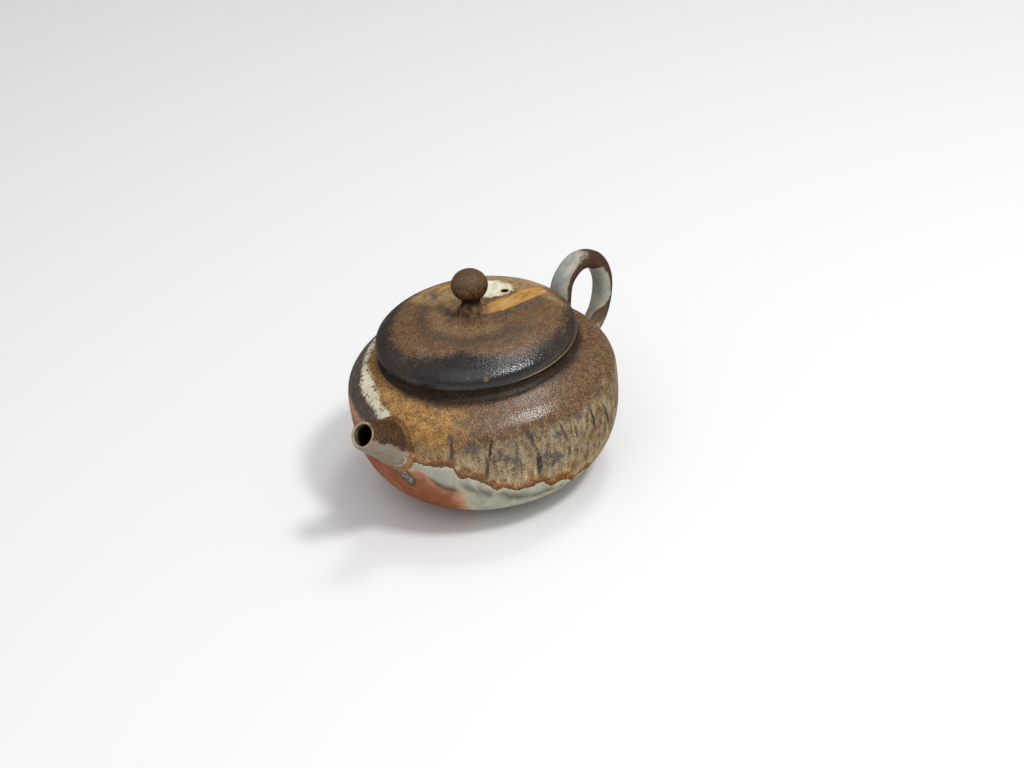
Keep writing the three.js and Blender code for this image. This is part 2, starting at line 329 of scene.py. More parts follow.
def pierced(made: Object, drills: Sequence[Skin]) -> None:
    """Cuts holes through an object with a Boolean modifier, and applies it.

    Args:
        made: object that gets the holes.
        drills: closed skins, clear of each other.
    """
    starts = np.cumsum([0] + [len(drill.points) for drill in drills[:-1]])
    joined = Skin(
        np.concatenate([drill.points for drill in drills]),
        np.concatenate([drill.quads + start for drill, start in zip(drills, starts)]),
        np.concatenate([drill.corners + start for drill, start in zip(drills, starts)]),
    )
    cutter = joined.to_object("drill")
    solid = cutter.data
    cut = made.modifiers.new("holes", "BOOLEAN")
    cut.object = cutter
    cut.solver = "EXACT"
    graph = bpy.context.evaluated_depsgraph_get()
    mesh = bpy.data.meshes.new_from_object(made.evaluated_get(graph))
    made.modifiers.clear()
    made.data = mesh
    mesh.name = made.name
    bpy.data.objects.remove(cutter)
    bpy.data.meshes.remove(solid)
    mesh.set_sharp_from_angle(angle=math.radians(50.0))


def drill_skin(base: Array, ahead: Array, stations: Knots, columns: int = 32) -> Skin:
    """A round drill: circles about an axis, closed at both ends.

    Args:
        base: where distances along the axis count from.
        ahead: unit direction of the axis, not along Y.
        stations: (distance, radius) of each circle.
        columns: points on each circle.

    Returns:
        The drill's skin.
    """
    side = np.cross(ahead, SIDEWAYS)
    angle = full_turn(columns)
    circle = np.outer(np.cos(angle), side) + np.outer(np.sin(angle), SIDEWAYS)
    distance, radius = np.array(stations, dtype=float).T
    along = distance[:, None, None] * ahead
    return Skin.from_grid(base + along + radius[:, None, None] * circle, ring=False)


def store(made: Object, name: str, *fields: Array) -> None:
    """Keeps up to three values for each vertex in one vector attribute.

    Args:
        made: object that gets it.
        name: the attribute's name.
        fields: arrays for its X, Y and Z.
    """
    values = np.zeros((len(made.data.vertices), 3), dtype=np.float32)
    for column, field in enumerate(fields):
        values[:, column] = field
    attribute = made.data.attributes.new(name, "FLOAT_VECTOR", "POINT")
    attribute.data.foreach_set("vector", values.ravel())


# Node helpers


class Wire:
    """A value that runs between nodes; arithmetic on it adds Math nodes to its bench."""

    def __init__(self, bench: "Bench", socket: bpy.types.NodeSocket) -> None:
        """Args: bench: where the value's node stands. socket: output that it leaves by."""
        self.bench = bench
        self.socket = socket

    def __add__(self, other: Feed) -> "Wire":
        """Sum."""
        return self.bench.calc("ADD", self, other)

    def __sub__(self, other: Feed) -> "Wire":
        """Difference."""
        return self.bench.calc("SUBTRACT", self, other)

    def __rsub__(self, other: Feed) -> "Wire":
        """What is left of a number."""
        return self.bench.calc("SUBTRACT", other, self)

    def __mul__(self, other: Feed) -> "Wire":
        """Product."""
        return self.bench.calc("MULTIPLY", self, other)

    def __truediv__(self, other: Feed) -> "Wire":
        """Quotient."""
        return self.bench.calc("DIVIDE", self, other)

    def __rtruediv__(self, other: Feed) -> "Wire":
        """A number divided by this value."""
        return self.bench.calc("DIVIDE", other, self)

    def __abs__(self) -> "Wire":
        """The value without its sign."""
        return self.bench.calc("ABSOLUTE", self)


class Bench:
    """Lays out the nodes of one material or node group and joins them."""

    def __init__(self, tree: NodeTree) -> None:
        """Args: tree: the node tree to work on."""
        self.tree = tree
        self.parts: dict[object, object] = {}

    def fill(self, node: Node, feeds: dict[Union[int, str], Feed]) -> None:
        """Joins a node's inputs to wires, or sets their constants.

        Args:
            node: the node.
            feeds: what each input gets, by the input's name or place.
        """
        for key, value in feeds.items():
            if isinstance(value, Wire):
                self.tree.links.new(value.socket, node.inputs[key])
            else:
                node.inputs[key].default_value = value.value if isinstance(value, Tone) else value

    def node(self, kind: str, feeds: Optional[dict] = None, **settings: object) -> dict:
        """Adds a node.

        Args:
            kind: Blender's name for it.
            feeds: as for fill.
            settings: its own properties.

        Returns:
            A wire from each of its outputs, both by name and by place.
        """
        made = self.tree.nodes.new(kind)
        for name, value in settings.items():
            setattr(made, name, value)
        self.fill(made, feeds or {})
        named = {socket.name: Wire(self, socket) for socket in made.outputs}
        return named | {place: Wire(self, socket) for place, socket in enumerate(made.outputs)}

    def calc(self, operation: str, *terms: Feed, clamp: bool = False) -> Wire:
        """One Math node over up to three terms."""
        settings = {"operation": operation, "use_clamp": clamp}
        return self.node("ShaderNodeMath", dict(enumerate(terms)), **settings)[0]

    def place(self, stretch: tuple[float, float, float] = (1.0, 1.0, 1.0)) -> Wire:
        """The piece's own coordinates in millimetres, stretched along its axes."""
        if stretch not in self.parts:
            source = self.node("ShaderNodeTexCoord")["Object"]
            feeds = {"Vector": source, "Scale": [share / MM for share in stretch]}
            self.parts[stretch] = self.node("ShaderNodeMapping", feeds)["Vector"]
        return self.parts[stretch]

    def field(self, name: str) -> tuple[Wire, Wire, Wire]:
        """The three values that a piece keeps in one of its attributes."""
        if name not in self.parts:
            source = self.node("ShaderNodeAttribute", attribute_name=name)["Vector"]
            split = self.node("ShaderNodeSeparateXYZ", {0: source})
            self.parts[name] = (split["X"], split["Y"], split["Z"])
        return self.parts[name]


def span(value: Wire, low: Feed, high: Feed, start: Feed = 0, end: Feed = 1) -> Wire:
    """Maps a value from low..high to start..end with soft ends."""
    feeds = dict(enumerate((value, low, high, start, end)))
    return value.bench.node("ShaderNodeMapRange", feeds, interpolation_type="SMOOTHSTEP")["Result"]


def mix(factor: Wire, first: Feed, second: Feed) -> Wire:
    """A colour between the first one, at factor 0, and the second one, at factor 1."""
    feeds = {0: factor, 6: first, 7: second}
    return factor.bench.node("ShaderNodeMix", feeds, data_type="RGBA")[2]


def ramp(factor: Wire, *stops: tuple[float, "Tone"]) -> Wire:
    """A colour ramp over tones, each given with its place from 0 to 1."""
    colour = factor.bench.node("ShaderNodeValToRGB", {0: factor})["Color"]
    elements = colour.socket.node.color_ramp.elements
    for element, (place, tone) in zip(elements, (stops[0], stops[-1])):
        element.position, element.color = place, tone.value
    for place, tone in stops[1:-1]:
        elements.new(place).color = tone.value
    return colour


def noise(place: Wire, lump: Feed, detail: float = 2, rough: float = 0.5) -> Wire:
    """Blender's noise with lumps of a width in millimetres, mostly between 0.25 and 0.75."""
    feeds = {"Vector": place, "Scale": 1.0 / lump, "Detail": detail, "Roughness": rough}
    return place.bench.node("ShaderNodeTexNoise", feeds)["Fac"]


def cells(place: Wire, size: float) -> tuple[Wire, Wire]:
    """Round grains: distance from each grain's middle, and a random colour for each."""
    found = place.bench.node("ShaderNodeTexVoronoi", {"Vector": place, "Scale": 1.0 / size})
    return found["Distance"], found["Color"]


def axis(place: Wire, name: str) -> Wire:
    """One axis of a vector."""
    return place.bench.node("ShaderNodeSeparateXYZ", {0: place})[name]


class Tone(Enum):
    """Clays and glazes as linear red, green and blue."""

    SOOT = (0.012, 0.010, 0.009, 1.0)
    CHARCOAL = (0.034, 0.028, 0.025, 1.0)
    UMBER = (0.042, 0.023, 0.012, 1.0)
    BROWN = (0.120, 0.058, 0.027, 1.0)
    FAWN = (0.230, 0.134, 0.066, 1.0)
    TAN = (0.305, 0.195, 0.088, 1.0)
    BUFF = (0.490, 0.355, 0.180, 1.0)
    OCHRE = (0.390, 0.200, 0.048, 1.0)
    GOLD = (0.600, 0.375, 0.130, 1.0)
    OLIVE = (0.250, 0.195, 0.095, 1.0)
    MOSS = (0.120, 0.096, 0.055, 1.0)
    AMBER = (0.390, 0.155, 0.026, 1.0)
    RUST = (0.110, 0.038, 0.008, 1.0)
    PLUM = (0.150, 0.118, 0.098, 1.0)
    CELADON = (0.530, 0.505, 0.375, 1.0)
    MILK = (0.780, 0.725, 0.590, 1.0)
    MIST = (0.265, 0.275, 0.252, 1.0)
    CREAM = (0.610, 0.505, 0.310, 1.0)
    CLAY = (0.325, 0.115, 0.052, 1.0)
    FLASH = (0.235, 0.072, 0.033, 1.0)
    SALMON = (0.500, 0.245, 0.145, 1.0)
    PORCELAIN = (0.700, 0.640, 0.530, 1.0)
    PAPER = (0.800, 0.800, 0.800, 1.0)


def new_material(name: str) -> tuple[Material, Bench, Node]:
    """A new material, its bench and its Principled BSDF."""
    material = bpy.data.materials.new(name)
    material.use_nodes = True
    return material, Bench(material.node_tree), material.node_tree.nodes["Principled BSDF"]


def open_group(name: str, **usual: float) -> tuple:
    """Starts a node group that takes a place and some numbers.

    Args:
        name: name of the effect.
        usual: usual value of each number.

    Returns:
        The group's bench, then wires from its place and its numbers.
    """
    tree = bpy.data.node_groups.new(name, "ShaderNodeTree")
    tree.interface.new_socket("Place", in_out="INPUT", socket_type="NodeSocketVector")
    for label, value in usual.items():
        socket = tree.interface.new_socket(label, in_out="INPUT", socket_type="NodeSocketFloat")
        socket.default_value = value
    bench = Bench(tree)
    given = bench.node("NodeGroupInput")
    return bench, given["Place"], *[given[label] for label in usual]


def close_group(bench: Bench, **results: Wire) -> NodeTree:
    """Puts each result out of a node group under its name, and gives the group's tree."""
    for label in results:
        bench.tree.interface.new_socket(label, in_out="OUTPUT", socket_type="NodeSocketFloat")
    bench.node("NodeGroupOutput", results)
    return bench.tree


def put(group: NodeTree, place: Wire, **feeds: Feed) -> dict:
    """Puts a node group on the place's bench, and gives a wire from each of its outputs."""
    return place.bench.node("ShaderNodeGroup", {"Place": place, **feeds}, node_tree=group)


@cache
def grain_group() -> NodeTree:
    """Orange-peel grain of ash: fine noise over round grains, as a tone and as a height."""
    bench, place, contrast = open_group("Ash grain", Contrast=1.0)
    fine = noise(place, 0.38, 2, 0.6)
    distance, _ = cells(place, 0.6)
    tone = (fine - 0.5) * 2.6 + (noise(place, 2.1, 3) - 0.5) * 0.9 + (0.34 - distance) * 0.5
    tone = bench.calc("ADD", tone * contrast, 0.5, clamp=True)
    lone, chance = cells(place, 1.9)
    specks = span(lone, 0.17, 0.09) * span(axis(chance, "Y"), 0.62, 0.7)
    return close_group(bench, Tone=tone, Height=fine + 0.5 - distance * 0.9, Specks=specks)


@cache
def edge_group() -> NodeTree:
    """Ragged edge of a run or patch: a distance shaken by fine noise, then cut at 0."""
    numbers = {"Distance": 0.0, "Ragged": 0.8, "Softness": 0.25, "Width": 1.0}
    bench, place, distance, ragged, soft, width = open_group("Ragged edge", **numbers)
    moved = distance + (noise(place, 1, 3, 0.6) - 0.5) * 2.6 * ragged
    inside = span(moved, soft * -1, soft)
    return close_group(bench, Inside=inside, Line=span(moved, width, 0) * inside)


@cache
def clouds_group() -> NodeTree:
    """Soft clouds of one colour in another: noise stretched to fill 0 to 1."""
    bench, place, size, low, high = open_group("Kiln clouds", Size=9.0, Low=0.35, High=0.65)
    return close_group(bench, Mask=span(noise(place, size, 3), low, high))


@cache
def wear_group() -> NodeTree:
    """Glaze drawn thin along a rim: strongest at distance 0, broken by noise."""
    bench, place, distance, width = open_group("Rim break", Distance=0.0, Width=0.5)
    broken = span(noise(place, 3, 3, 0.6), 0.36, 0.56)
    return close_group(bench, Mask=span(distance, width, 0) * broken)


@cache
def turning_group() -> NodeTree:
    """Throwing lines: soft rings at even steps of height, bent a little by noise."""
    bench, place, step = open_group("Throwing lines", Step=2.2)
    bent = noise(place, 14) * 2.0 + axis(place, "Z")
    wave = bench.calc("SINE", bent / step * 2.0 * math.pi)
    return close_group(bench, Height=wave * 0.5 + 0.5)


def ash_grain(place: Wire, contrast: float = 1.0) -> dict:
    """The ash's grain, as a Tone, a Height and Specks."""
    return put(grain_group(), place, Contrast=contrast)


def ragged_edge(
    place: Wire, distance: Wire, ragged: float, soft: Feed = 0.25, width: Feed = 1.0
) -> dict:
    """A ragged edge at distance 0: what is Inside, and a Line of some width along it."""
    feeds = {"Distance": distance, "Ragged": ragged, "Softness": soft, "Width": width}
    return put(edge_group(), place, **feeds)


def clouds_of(place: Wire, size: float, low: float = 0.35, high: float = 0.65) -> Wire:
    """Soft clouds of a size in millimetres, over noise from low to high."""
    return put(clouds_group(), place, Size=size, Low=low, High=high)["Mask"]


def worn(place: Wire, distance: Wire, width: float) -> Wire:
    """Glaze drawn thin within a width of a rim."""
    return put(wear_group(), place, Distance=distance, Width=width)["Mask"]


def turned(place: Wire, step: float) -> Wire:
    """Height of throwing lines, one for each step up."""
    return put(turning_group(), place, Step=step)["Height"]


@dataclass(frozen=True)
class Surface:
    """How glossy a finish is, and how deep its grain stands, in millimetres."""

    rough_low: float
    rough_high: float
    depth: float
    specular: float = 0.2


# The pot's curves, shared by the pieces that stand on them


@dataclass(frozen=True)
class PotCurve:
    """The body's curve: two superellipse halves that meet at the widest ring."""

    radius: float = 44.0
    widest: float = 32.85
    rise: float = 17.3
    rise_fullness: float = 2.6
    depth: float = 34.0
    depth_fullness: float = 2.81

    def inset(self, wall: float) -> "PotCurve":
        """The curve a wall further in."""
        return replace(
            self, radius=self.radius - wall, rise=self.rise - wall, depth=self.depth - wall
        )

    def radius_at(self, height: float) -> float:
        """Radius of the curve at a height."""
        over = height > self.widest
        reach = self.rise if over else self.depth
        fullness = self.rise_fullness if over else self.depth_fullness
        return self.radius * float(superellipse(abs(height - self.widest) / reach, fullness))

    def shoulder_at(self, radius: float) -> float:
        """Height of the upper curve at a radius."""
        return self.widest + self.rise * float(superellipse(radius / self.radius, self.rise_fullness))

    def outline(self, low: float, high: float, spacing: float) -> Array:
        """(radius, height) points up the curve between two heights.

        Args:
            low: height of the first point.
            high: height of the last point.
            spacing: greatest step.

        Returns:
            (n, 2) evenly spaced points.
        """
        below = quarter_arc(self.radius, self.depth, self.depth_fullness, 600)
        above = quarter_arc(self.radius, self.rise, self.rise_fullness, 600)
        below[:, 1] = self.widest - below[:, 1]
        above[:, 1] += self.widest
        line = np.concatenate([below[::-1], above[1:]])
        heights = np.array([low, high])
        ends = np.interp(heights, line[:, 1], line[:, 0])
        inner = line[(line[:, 1] > low) & (line[:, 1] < high)]
        line = np.concatenate([[[ends[0], low]], inner, [[ends[1], high]]])
        return resampled(line, spacing)

    def climb(self, height: Union[float, Array]) -> Array:
        """Length along the curve from the widest ring up to a height, below it negative."""
        line = self.outline(self.widest - self.depth + 0.02, self.widest + self.rise - 0.02, 0.1)
        steps = np.linalg.norm(np.diff(line, axis=0), axis=1)
        length = np.concatenate([[0.0], np.cumsum(steps)])
        length -= np.interp(self.widest, line[:, 1], length)
        return np.interp(height, line[:, 1], length)

    def stand_off(self, points: Array) -> Array:
        """Distance of (..., 3) points outside the curve's surface, inside negative.

        It is (F - 1) / |grad F| for F = (r/R)^n + (|z - widest|/reach)^n, which is exact on it.
        """
        across = radius_of(points)
        up = points[..., 2] - self.widest
        reach = np.where(up > 0.0, self.rise, self.depth)
        power = np.where(up > 0.0, self.rise_fullness, self.depth_fullness)
        value = (across / self.radius) ** power + (np.abs(up) / reach) ** power - 1.0
        slope_across = power / self.radius * (across / self.radius) ** (power - 1.0)
        slope_up = power / reach * (np.abs(up) / reach) ** (power - 1.0)
        return value / np.hypot(slope_across, slope_up)

    def normals(self, points: Array) -> Array:
        """Outward unit vectors of the curve's surface at (n, 3) places, by central differences."""
        step = 0.01
        slopes = [
            self.stand_off(points + step * way) - self.stand_off(points - step * way)
            for way in np.eye(3)
        ]
        found = np.stack(slopes, axis=-1)
        return found / np.linalg.norm(found, axis=-1, keepdims=True)


POT = PotCurve()
WALL = 2.6
COLLAR_RADIUS = 31.4
COLLAR_BASE = POT.shoulder_at(COLLAR_RADIUS)
RIM = COLLAR_BASE + 3.6
HANDLE_TOP_ROOT = POT.widest + 7.5
HANDLE_LOW_ROOT = POT.widest - 8.6
SPOUT_HEIGHT = POT.widest + 2.6
SPOUT_ROOT = np.array([POT.radius_at(SPOUT_HEIGHT), 0.0, SPOUT_HEIGHT])
SPOUT_LIFT = math.radians(39.2)
SPOUT_AXIS = np.array([math.cos(SPOUT_LIFT), 0.0, math.sin(SPOUT_LIFT)])
SPOUT_UP = np.array([-math.sin(SPOUT_LIFT), 0.0, math.cos(SPOUT_LIFT)])


def beside(azimuth: Array, other: Union[float, Array]) -> Array:
    """Signed millimetres from one azimuth to others, along the body's widest ring."""
    return np.radians(apart(azimuth, other)) * POT.radius


def meeting(
    place: Callable[[Array], Array], inside: float, outside: float, depth: float, count: int,
    wall: PotCurve = POT,
) -> Array:
    """Where lines run into a wall, by halving the stretch between two places on each.

    Args:
        place: gives (n, 3) points for one parameter per line.
        inside: parameter inside the wall.
        outside: parameter outside it.
        depth: how deep below its surface the wanted places lie.
        count: number of lines.
        wall: curve of the wall.

    Returns:
        One parameter for each line.
    """
    low, high = np.full(count, float(inside)), np.full(count, float(outside))
    for _ in range(30):
        middle = (low + high) / 2.0
        out = wall.stand_off(place(middle)) > -depth
        low, high = np.where(out, low, middle), np.where(out, middle, high)
    return (low + high) / 2.0


def drawn_out(stand_off: Array, reach: float) -> Array:
    """Fillet of clay drawn onto the wall: reach - sqrt(reach^2 - (reach - stand_off)^2), then 0."""
    short = np.clip(reach - stand_off, 0.0, reach)
    return reach - np.sqrt(np.clip(reach * reach - short * short, 0.0, None))


@dataclass(frozen=True)
class Sight:
    """The photograph's camera: where it stood, how it was turned, and what it saw behind a pixel."""

    place: tuple[float, float, float] = (395.75, 381.86, 380.12)
    azimuth: float = 133.0
    elevation: float = 32.446
    roll: float = -7.348
    lens: float = 70.3125
    sensor: float = 36.0
    frame: tuple[int, int] = (1024, 768)
    nearest: float = 450.0
    farthest: float = 800.0
    step: float = 0.1

    def axes(self) -> Array:
        """The camera's right, up and backward directions, one to a row."""
        turn, lift, roll = np.radians([self.azimuth, self.elevation, self.roll])
        right = np.array([np.cos(turn), np.sin(turn), 0.0])
        ahead = np.array([-np.sin(turn) * np.cos(lift), np.cos(turn) * np.cos(lift), -np.sin(lift)])
        up = np.cross(right, ahead)
        across = np.cos(roll) * right + np.sin(roll) * up
        return np.stack([across, np.cos(roll) * up - np.sin(roll) * right, -ahead])

    def behind(self, pixels: Knots, gap: Callable[[Array], Array]) -> Array:
        """Where the rays through pixels first pass into a surface.

        Args:
            pixels: (column, row) places.
            gap: distance of (..., 3) points outside the surface.

        Returns:
            (n, 3) points.
        """
        right, up, back = self.axes()
        aside = (np.array(pixels) - np.array(self.frame) / 2.0) * self.sensor / self.frame[0] / self.lens
        ways = aside[:, :1] * right - aside[:, 1:] * up - back
        ways /= np.linalg.norm(ways, axis=1, keepdims=True)
        reach = np.arange(self.nearest, self.farthest, self.step)
        points = np.array(self.place) + reach[:, None] * ways[:, None]
        first = np.argmax(gap(points) < 0.0, axis=1)
        return points[np.arange(len(first)), first]

    def on_wall(self, pixels: Knots) -> Array:
        """(azimuth, height) of the places on the body's wall behind pixels."""
        points = self.behind(pixels, POT.stand_off)
        return np.stack([azimuth_of(points), points[:, 2]], axis=1)


SIGHT = Sight()


@dataclass(frozen=True)
class Finish:
    """A fired surface; each kind lays out its own colours on a bench.

    Grains of ash shade each other where the surface is seen at a glancing angle, so the sheen
    fades there.
    """

    name: ClassVar[str] = "glaze"
    surface: ClassVar[Surface] = Surface(0.3, 0.6, 0.05)

    def lay_out(self, bench: Bench) -> tuple:
        """Colour, gloss share and height of the finish."""
        raise NotImplementedError

    def material(self) -> Material:
        """The finish's material, with one Principled BSDF."""
        material, bench, shader = new_material(self.name)
        colour, gloss, height = self.lay_out(bench)
        rough, sheen = self.surface.rough_high, self.surface.specular
        glance = bench.node("ShaderNodeLayerWeight")["Facing"]
        glossy = span(gloss, 0, 1, rough, self.surface.rough_low)
        bump = {"Strength": 1.0, "Distance": self.surface.depth * MM, "Height": height}
        feeds = {
            "Base Color": colour,
            "Roughness": span(glance, *GLANCE, glossy, rough),
            "Specular IOR Level": span(glance, *GLANCE, sheen, GLANCE_SHEEN * sheen),
            "Normal": bench.node("ShaderNodeBump", bump)["Normal"],
        }
        bench.fill(shader, feeds)
        return material

    def ash_brown(self, bench: Bench, grain: Wire) -> Wire:
        """Brown ash glaze: a ramp over the grain, mossy in slow clouds."""
        brown = ((0.0, Tone.UMBER), (0.42, Tone.BROWN), (0.72, Tone.FAWN), (1.0, Tone.TAN))
        return mix(clouds_of(bench.place(), 12) * 0.2, ramp(grain, *brown), Tone.MOSS)


@dataclass(frozen=True)
class Streak:
    """A line of ash that ran down the wall: its two ends, half width, and how dark or rusty.

    The ends are (azimuth, height) places, or pixels of the photograph's frame.
    """

    top: tuple[float, float]
    foot: tuple[float, float]
    half_width: float
    dark: float
    rust: float


@dataclass(frozen=True)
class AshMap:
    """Where ash, glaze and bare clay lie on the body.

    Fields whose names end in pixels follow the photograph; the others are listed (azimuth, height)
    places, mostly where the photograph shows nothing.
    """

    run_sides: Knots = (
        (-180, 20), (-150, 27), (-120, 34), (-90, 37.5), (-60, 38.5), (-45, 37.5), (-20, 37.5),
        (-10, 35.5), (0, 33), (110, 11.5), (125, 11), (150, 13), (170, 18),
    )
    run_pixels: Knots = (
        (410, 459), (417, 463), (424, 465.5), (432, 467), (440, 467), (446, 466), (454.5, 469.5),
        (456.5, 477), (463, 479.5), (468, 475.5), (472, 478.5), (479, 480.5), (483.5, 483),
        (488, 486), (494.5, 488), (498, 491.5), (503.5, 487), (508, 489.5), (513.5, 490.5),
        (520, 490.5), (526.5, 487), (532, 486), (538, 484), (543.5, 481.5), (548, 485.5),
        (552, 485.5), (558, 481.5), (563.5, 479.5), (569, 478.5), (571, 481.5), (576.5, 476),
        (583.5, 470.5),
    )
    patch_foot_sides: Knots = ((-120, 45), (-90, 44.5), (-5, 39.5), (0, 39), (60, 39), (180, 45))
    patch_foot_pixels: Knots = (
        (369, 345.5), (364, 356.5), (361.5, 368), (360.5, 378), (360.5, 389), (364, 398),
        (370.5, 406.5), (376, 413.5), (378.5, 418),
    )
    patch_top_sides: Knots = (
        (-120, 44.5), (-90, 45), (-3, 42), (1, 40), (4, 38), (60, 30), (180, 30),
    )
    patch_top_pixels: Knots = (
        (373, 348), (369, 356.5), (367, 366.5), (373, 378), (375, 386.5), (379.5, 395.5),
        (379.5, 402), (381.5, 406.5), (389.5, 408),
    )
    tongue_foot_sides: Knots = ((-30, 60), (-6, 36), (-2, 29.5), (29, 21), (40, 20), (180, 60))
    tongue_foot_pixels: Knots = (
        (399.5, 461), (403.5, 469), (406, 474), (410.5, 470), (417.5, 470.5), (424.5, 471.5),
        (428, 477.5), (437.5, 484.5), (450, 489),
    )
    streak_pixels: Sequence[Streak] = (
        Streak((452, 439), (453, 465.5), 0.55, 0.75, 0.9),
        Streak((456, 450), (455, 467), 0.4, 0.0, 0.9),
        Streak((491, 439), (489, 463.5), 0.42, 1.0, 0.3),
        Streak((489.5, 458), (485.5, 481.5), 0.5, 0.8, 1.0),
        Streak((528, 429.5), (537, 453), 0.5, 0.9, 0.2),
        Streak((535.5, 447.5), (543, 480.5), 1.0, 1.0, 0.35),
        Streak((543, 470.5), (539, 501), 0.9, 0.4, 1.0),
        Streak((529, 463.5), (530.5, 479), 0.5, 0.0, 0.9),
        Streak((558.5, 422.5), (570, 445), 0.6, 0.75, 0.1),
        Streak((569.5, 439), (569.5, 459.5), 0.55, 0.7, 0.3),
        Streak((554.5, 459), (552.5, 468.5), 0.7, 0.8, 0.2),
        Streak((573.5, 456), (572, 470), 0.55, 0.0, 0.9),
        Streak((584, 448.5), (586, 460.5), 0.7, 0.2, 0.8),
        Streak((574, 423), (578.5, 439), 0.4, 0.5, 0.4),
        Streak((590, 407.5), (595.5, 432), 0.65, 0.75, 0.3),
        Streak((602, 402), (610, 429), 0.75, 0.8, 0.3),
    )
    far_streaks: Sequence[Streak] = (
        Streak((118, 34), (121, 16), 0.7, 0.8, 0.5),
        Streak((140, 38), (143, 20), 0.8, 0.7, 0.6),
        Streak((196, 40), (193, 27), 0.7, 0.8, 0.6),
        Streak((215, 42), (214, 33), 0.6, 0.6, 0.7),
    )
    blotch_pixels: Sequence[tuple[float, float, float, float]] = (
        (450, 438.5, 1.4, 0.8), (471.5, 449.5, 2.3, 0.95), (496.5, 459, 1.7, 0.75),
        (505.5, 459, 2.0, 0.8), (515.5, 460.5, 1.7, 0.85), (513.5, 469.5, 1.0, 0.8),
        (548, 454.5, 2.2, 0.8), (558, 458, 2.2, 0.9), (558, 435, 1.6, 0.9), (531, 436, 1.5, 0.8),
        (542, 434, 1.5, 0.6), (581, 417, 1.8, 0.6),
    )
    far_blotches: Sequence[tuple[float, float, float, float]] = (
        (15, 43.5, 2.2, 0.4), (31, 41.5, 2.4, 0.35), (96, 33, 2.6, 0.5), (130, 28, 4.0, 0.6),
        (165, 33, 4.5, 0.6), (205, 38, 3.5, 0.6),
    )
    drips: Sequence[tuple[float, float, float]] = (
        (95.0, 2.4, 2.0), (118.0, 3.2, 2.2), (141.0, 4.0, 2.4), (168.0, 3.6, 2.0),
        (193.0, 4.4, 2.4), (222.0, 3.0, 2.0),
    )
    tongue_start: float = 20.5
    tongue_end: float = 36.0
    blot_pixels: Knots = ((394, 464.5), (408.5, 479.5))
    blot_width: float = 2.3

    @staticmethod
    def joined(sides: Knots, pixels: Knots) -> Array:
        """A line's (azimuth, height) knots: those listed, and those behind pixels."""
        return np.concatenate([np.array(sides, dtype=float), SIGHT.on_wall(pixels)])

    def streaks(self) -> list[Streak]:
        """Every streak, with its ends on the wall."""
        seen = []
        for streak in self.streak_pixels:
            top, foot = SIGHT.on_wall((streak.top, streak.foot)).tolist()
            seen.append(replace(streak, top=tuple(top), foot=tuple(foot)))
        return [*seen, *self.far_streaks]

    def blotches(self) -> Array:
        """(azimuth, height, size, strength) of every blotch."""
        seen = np.array(self.blotch_pixels)
        seen[:, :2] = SIGHT.on_wall(seen[:, :2])
        return np.concatenate([seen, np.array(self.far_blotches)])

    def run_distance(self, points: Array) -> Array:
        """Distance up the wall from the edge of the ash, below it negative.

        It is the climb above the run line, lowered by a bell curve at each drip and by 1.5 |noise|^0.8
        everywhere, which gives round lobes with sharp notches between them.
        """
        azimuth = azimuth_of(points)
        line = POT.climb(ring_line(azimuth, self.joined(self.run_sides, self.run_pixels), 0.7))
        for middle, length, width in self.drips:
            line -= length * bell(beside(azimuth, middle), 0, width)
        long = points * np.array([1.0, 1.0, 0.5])
        lobes = 1.5 * np.abs(wander(long, 3.2, 5, 1)) ** 0.8 + 0.6 * wander(long, 5.2, 9)
        fine = 0.4 * wander(long, 1.7, 7)
        free = np.maximum(ease(azimuth, 84, 96), ease(azimuth, -120, -150))
        return POT.climb(points[:, 2]) - line + fine + lobes * (0.3 + 0.7 * free)

    def streak_fields(self, points: Array) -> Array:
        """Streaks, as (distance beside the nearest in half widths, darkness, rust).

        Darkness and rust are 0 well beside every streak.
        """
        azimuth = azimuth_of(points)
        climb = POT.climb(points[:, 2])
        found = np.zeros((3, len(points)))
        found[0] = 9.0
        bend = 0.3 * wander(points, 3, 21)
        for streak in self.streaks():
            top, foot = POT.climb(np.array([streak.top[1], streak.foot[1]]))
            share = (top - climb) / (top - foot)
            middle = streak.top[0] + (streak.foot[0] - streak.top[0]) * share
            aside = beside(azimuth, middle) + bend
            taper = 0.35 + 0.65 * ease(share, 0, 0.45)
            aside = aside / (streak.half_width * taper)
            here = ease(share, -0.05, 0.06) * ease(share, 1.05, 0.9) * ease(np.abs(aside), 6, 3.5)
            nearer = (np.abs(aside) < np.abs(found[0])) & (here > 0.0)
            dark = here * streak.dark * ease(share, 1.05, 0.55)
            rust = here * streak.rust * ease(share, 0.15, 0.6)
            found = np.where(nearer, np.stack([aside, dark, rust]), found)
        return found

    def blotch_field(self, points: Array) -> Array:
        """Grey-purple blotches: a bell curve round each, shaken by noise."""
        azimuth = azimuth_of(points)
        climb = POT.climb(points[:, 2])
        found = np.zeros(len(points))
        for middle, height, size, strength in self.blotches():
            away = np.hypot(beside(azimuth, middle) / 1.4, climb - POT.climb(height))
            found = np.maximum(found, strength * bell(away, 0, size))
        return np.clip(found, 0.0, 1.0)

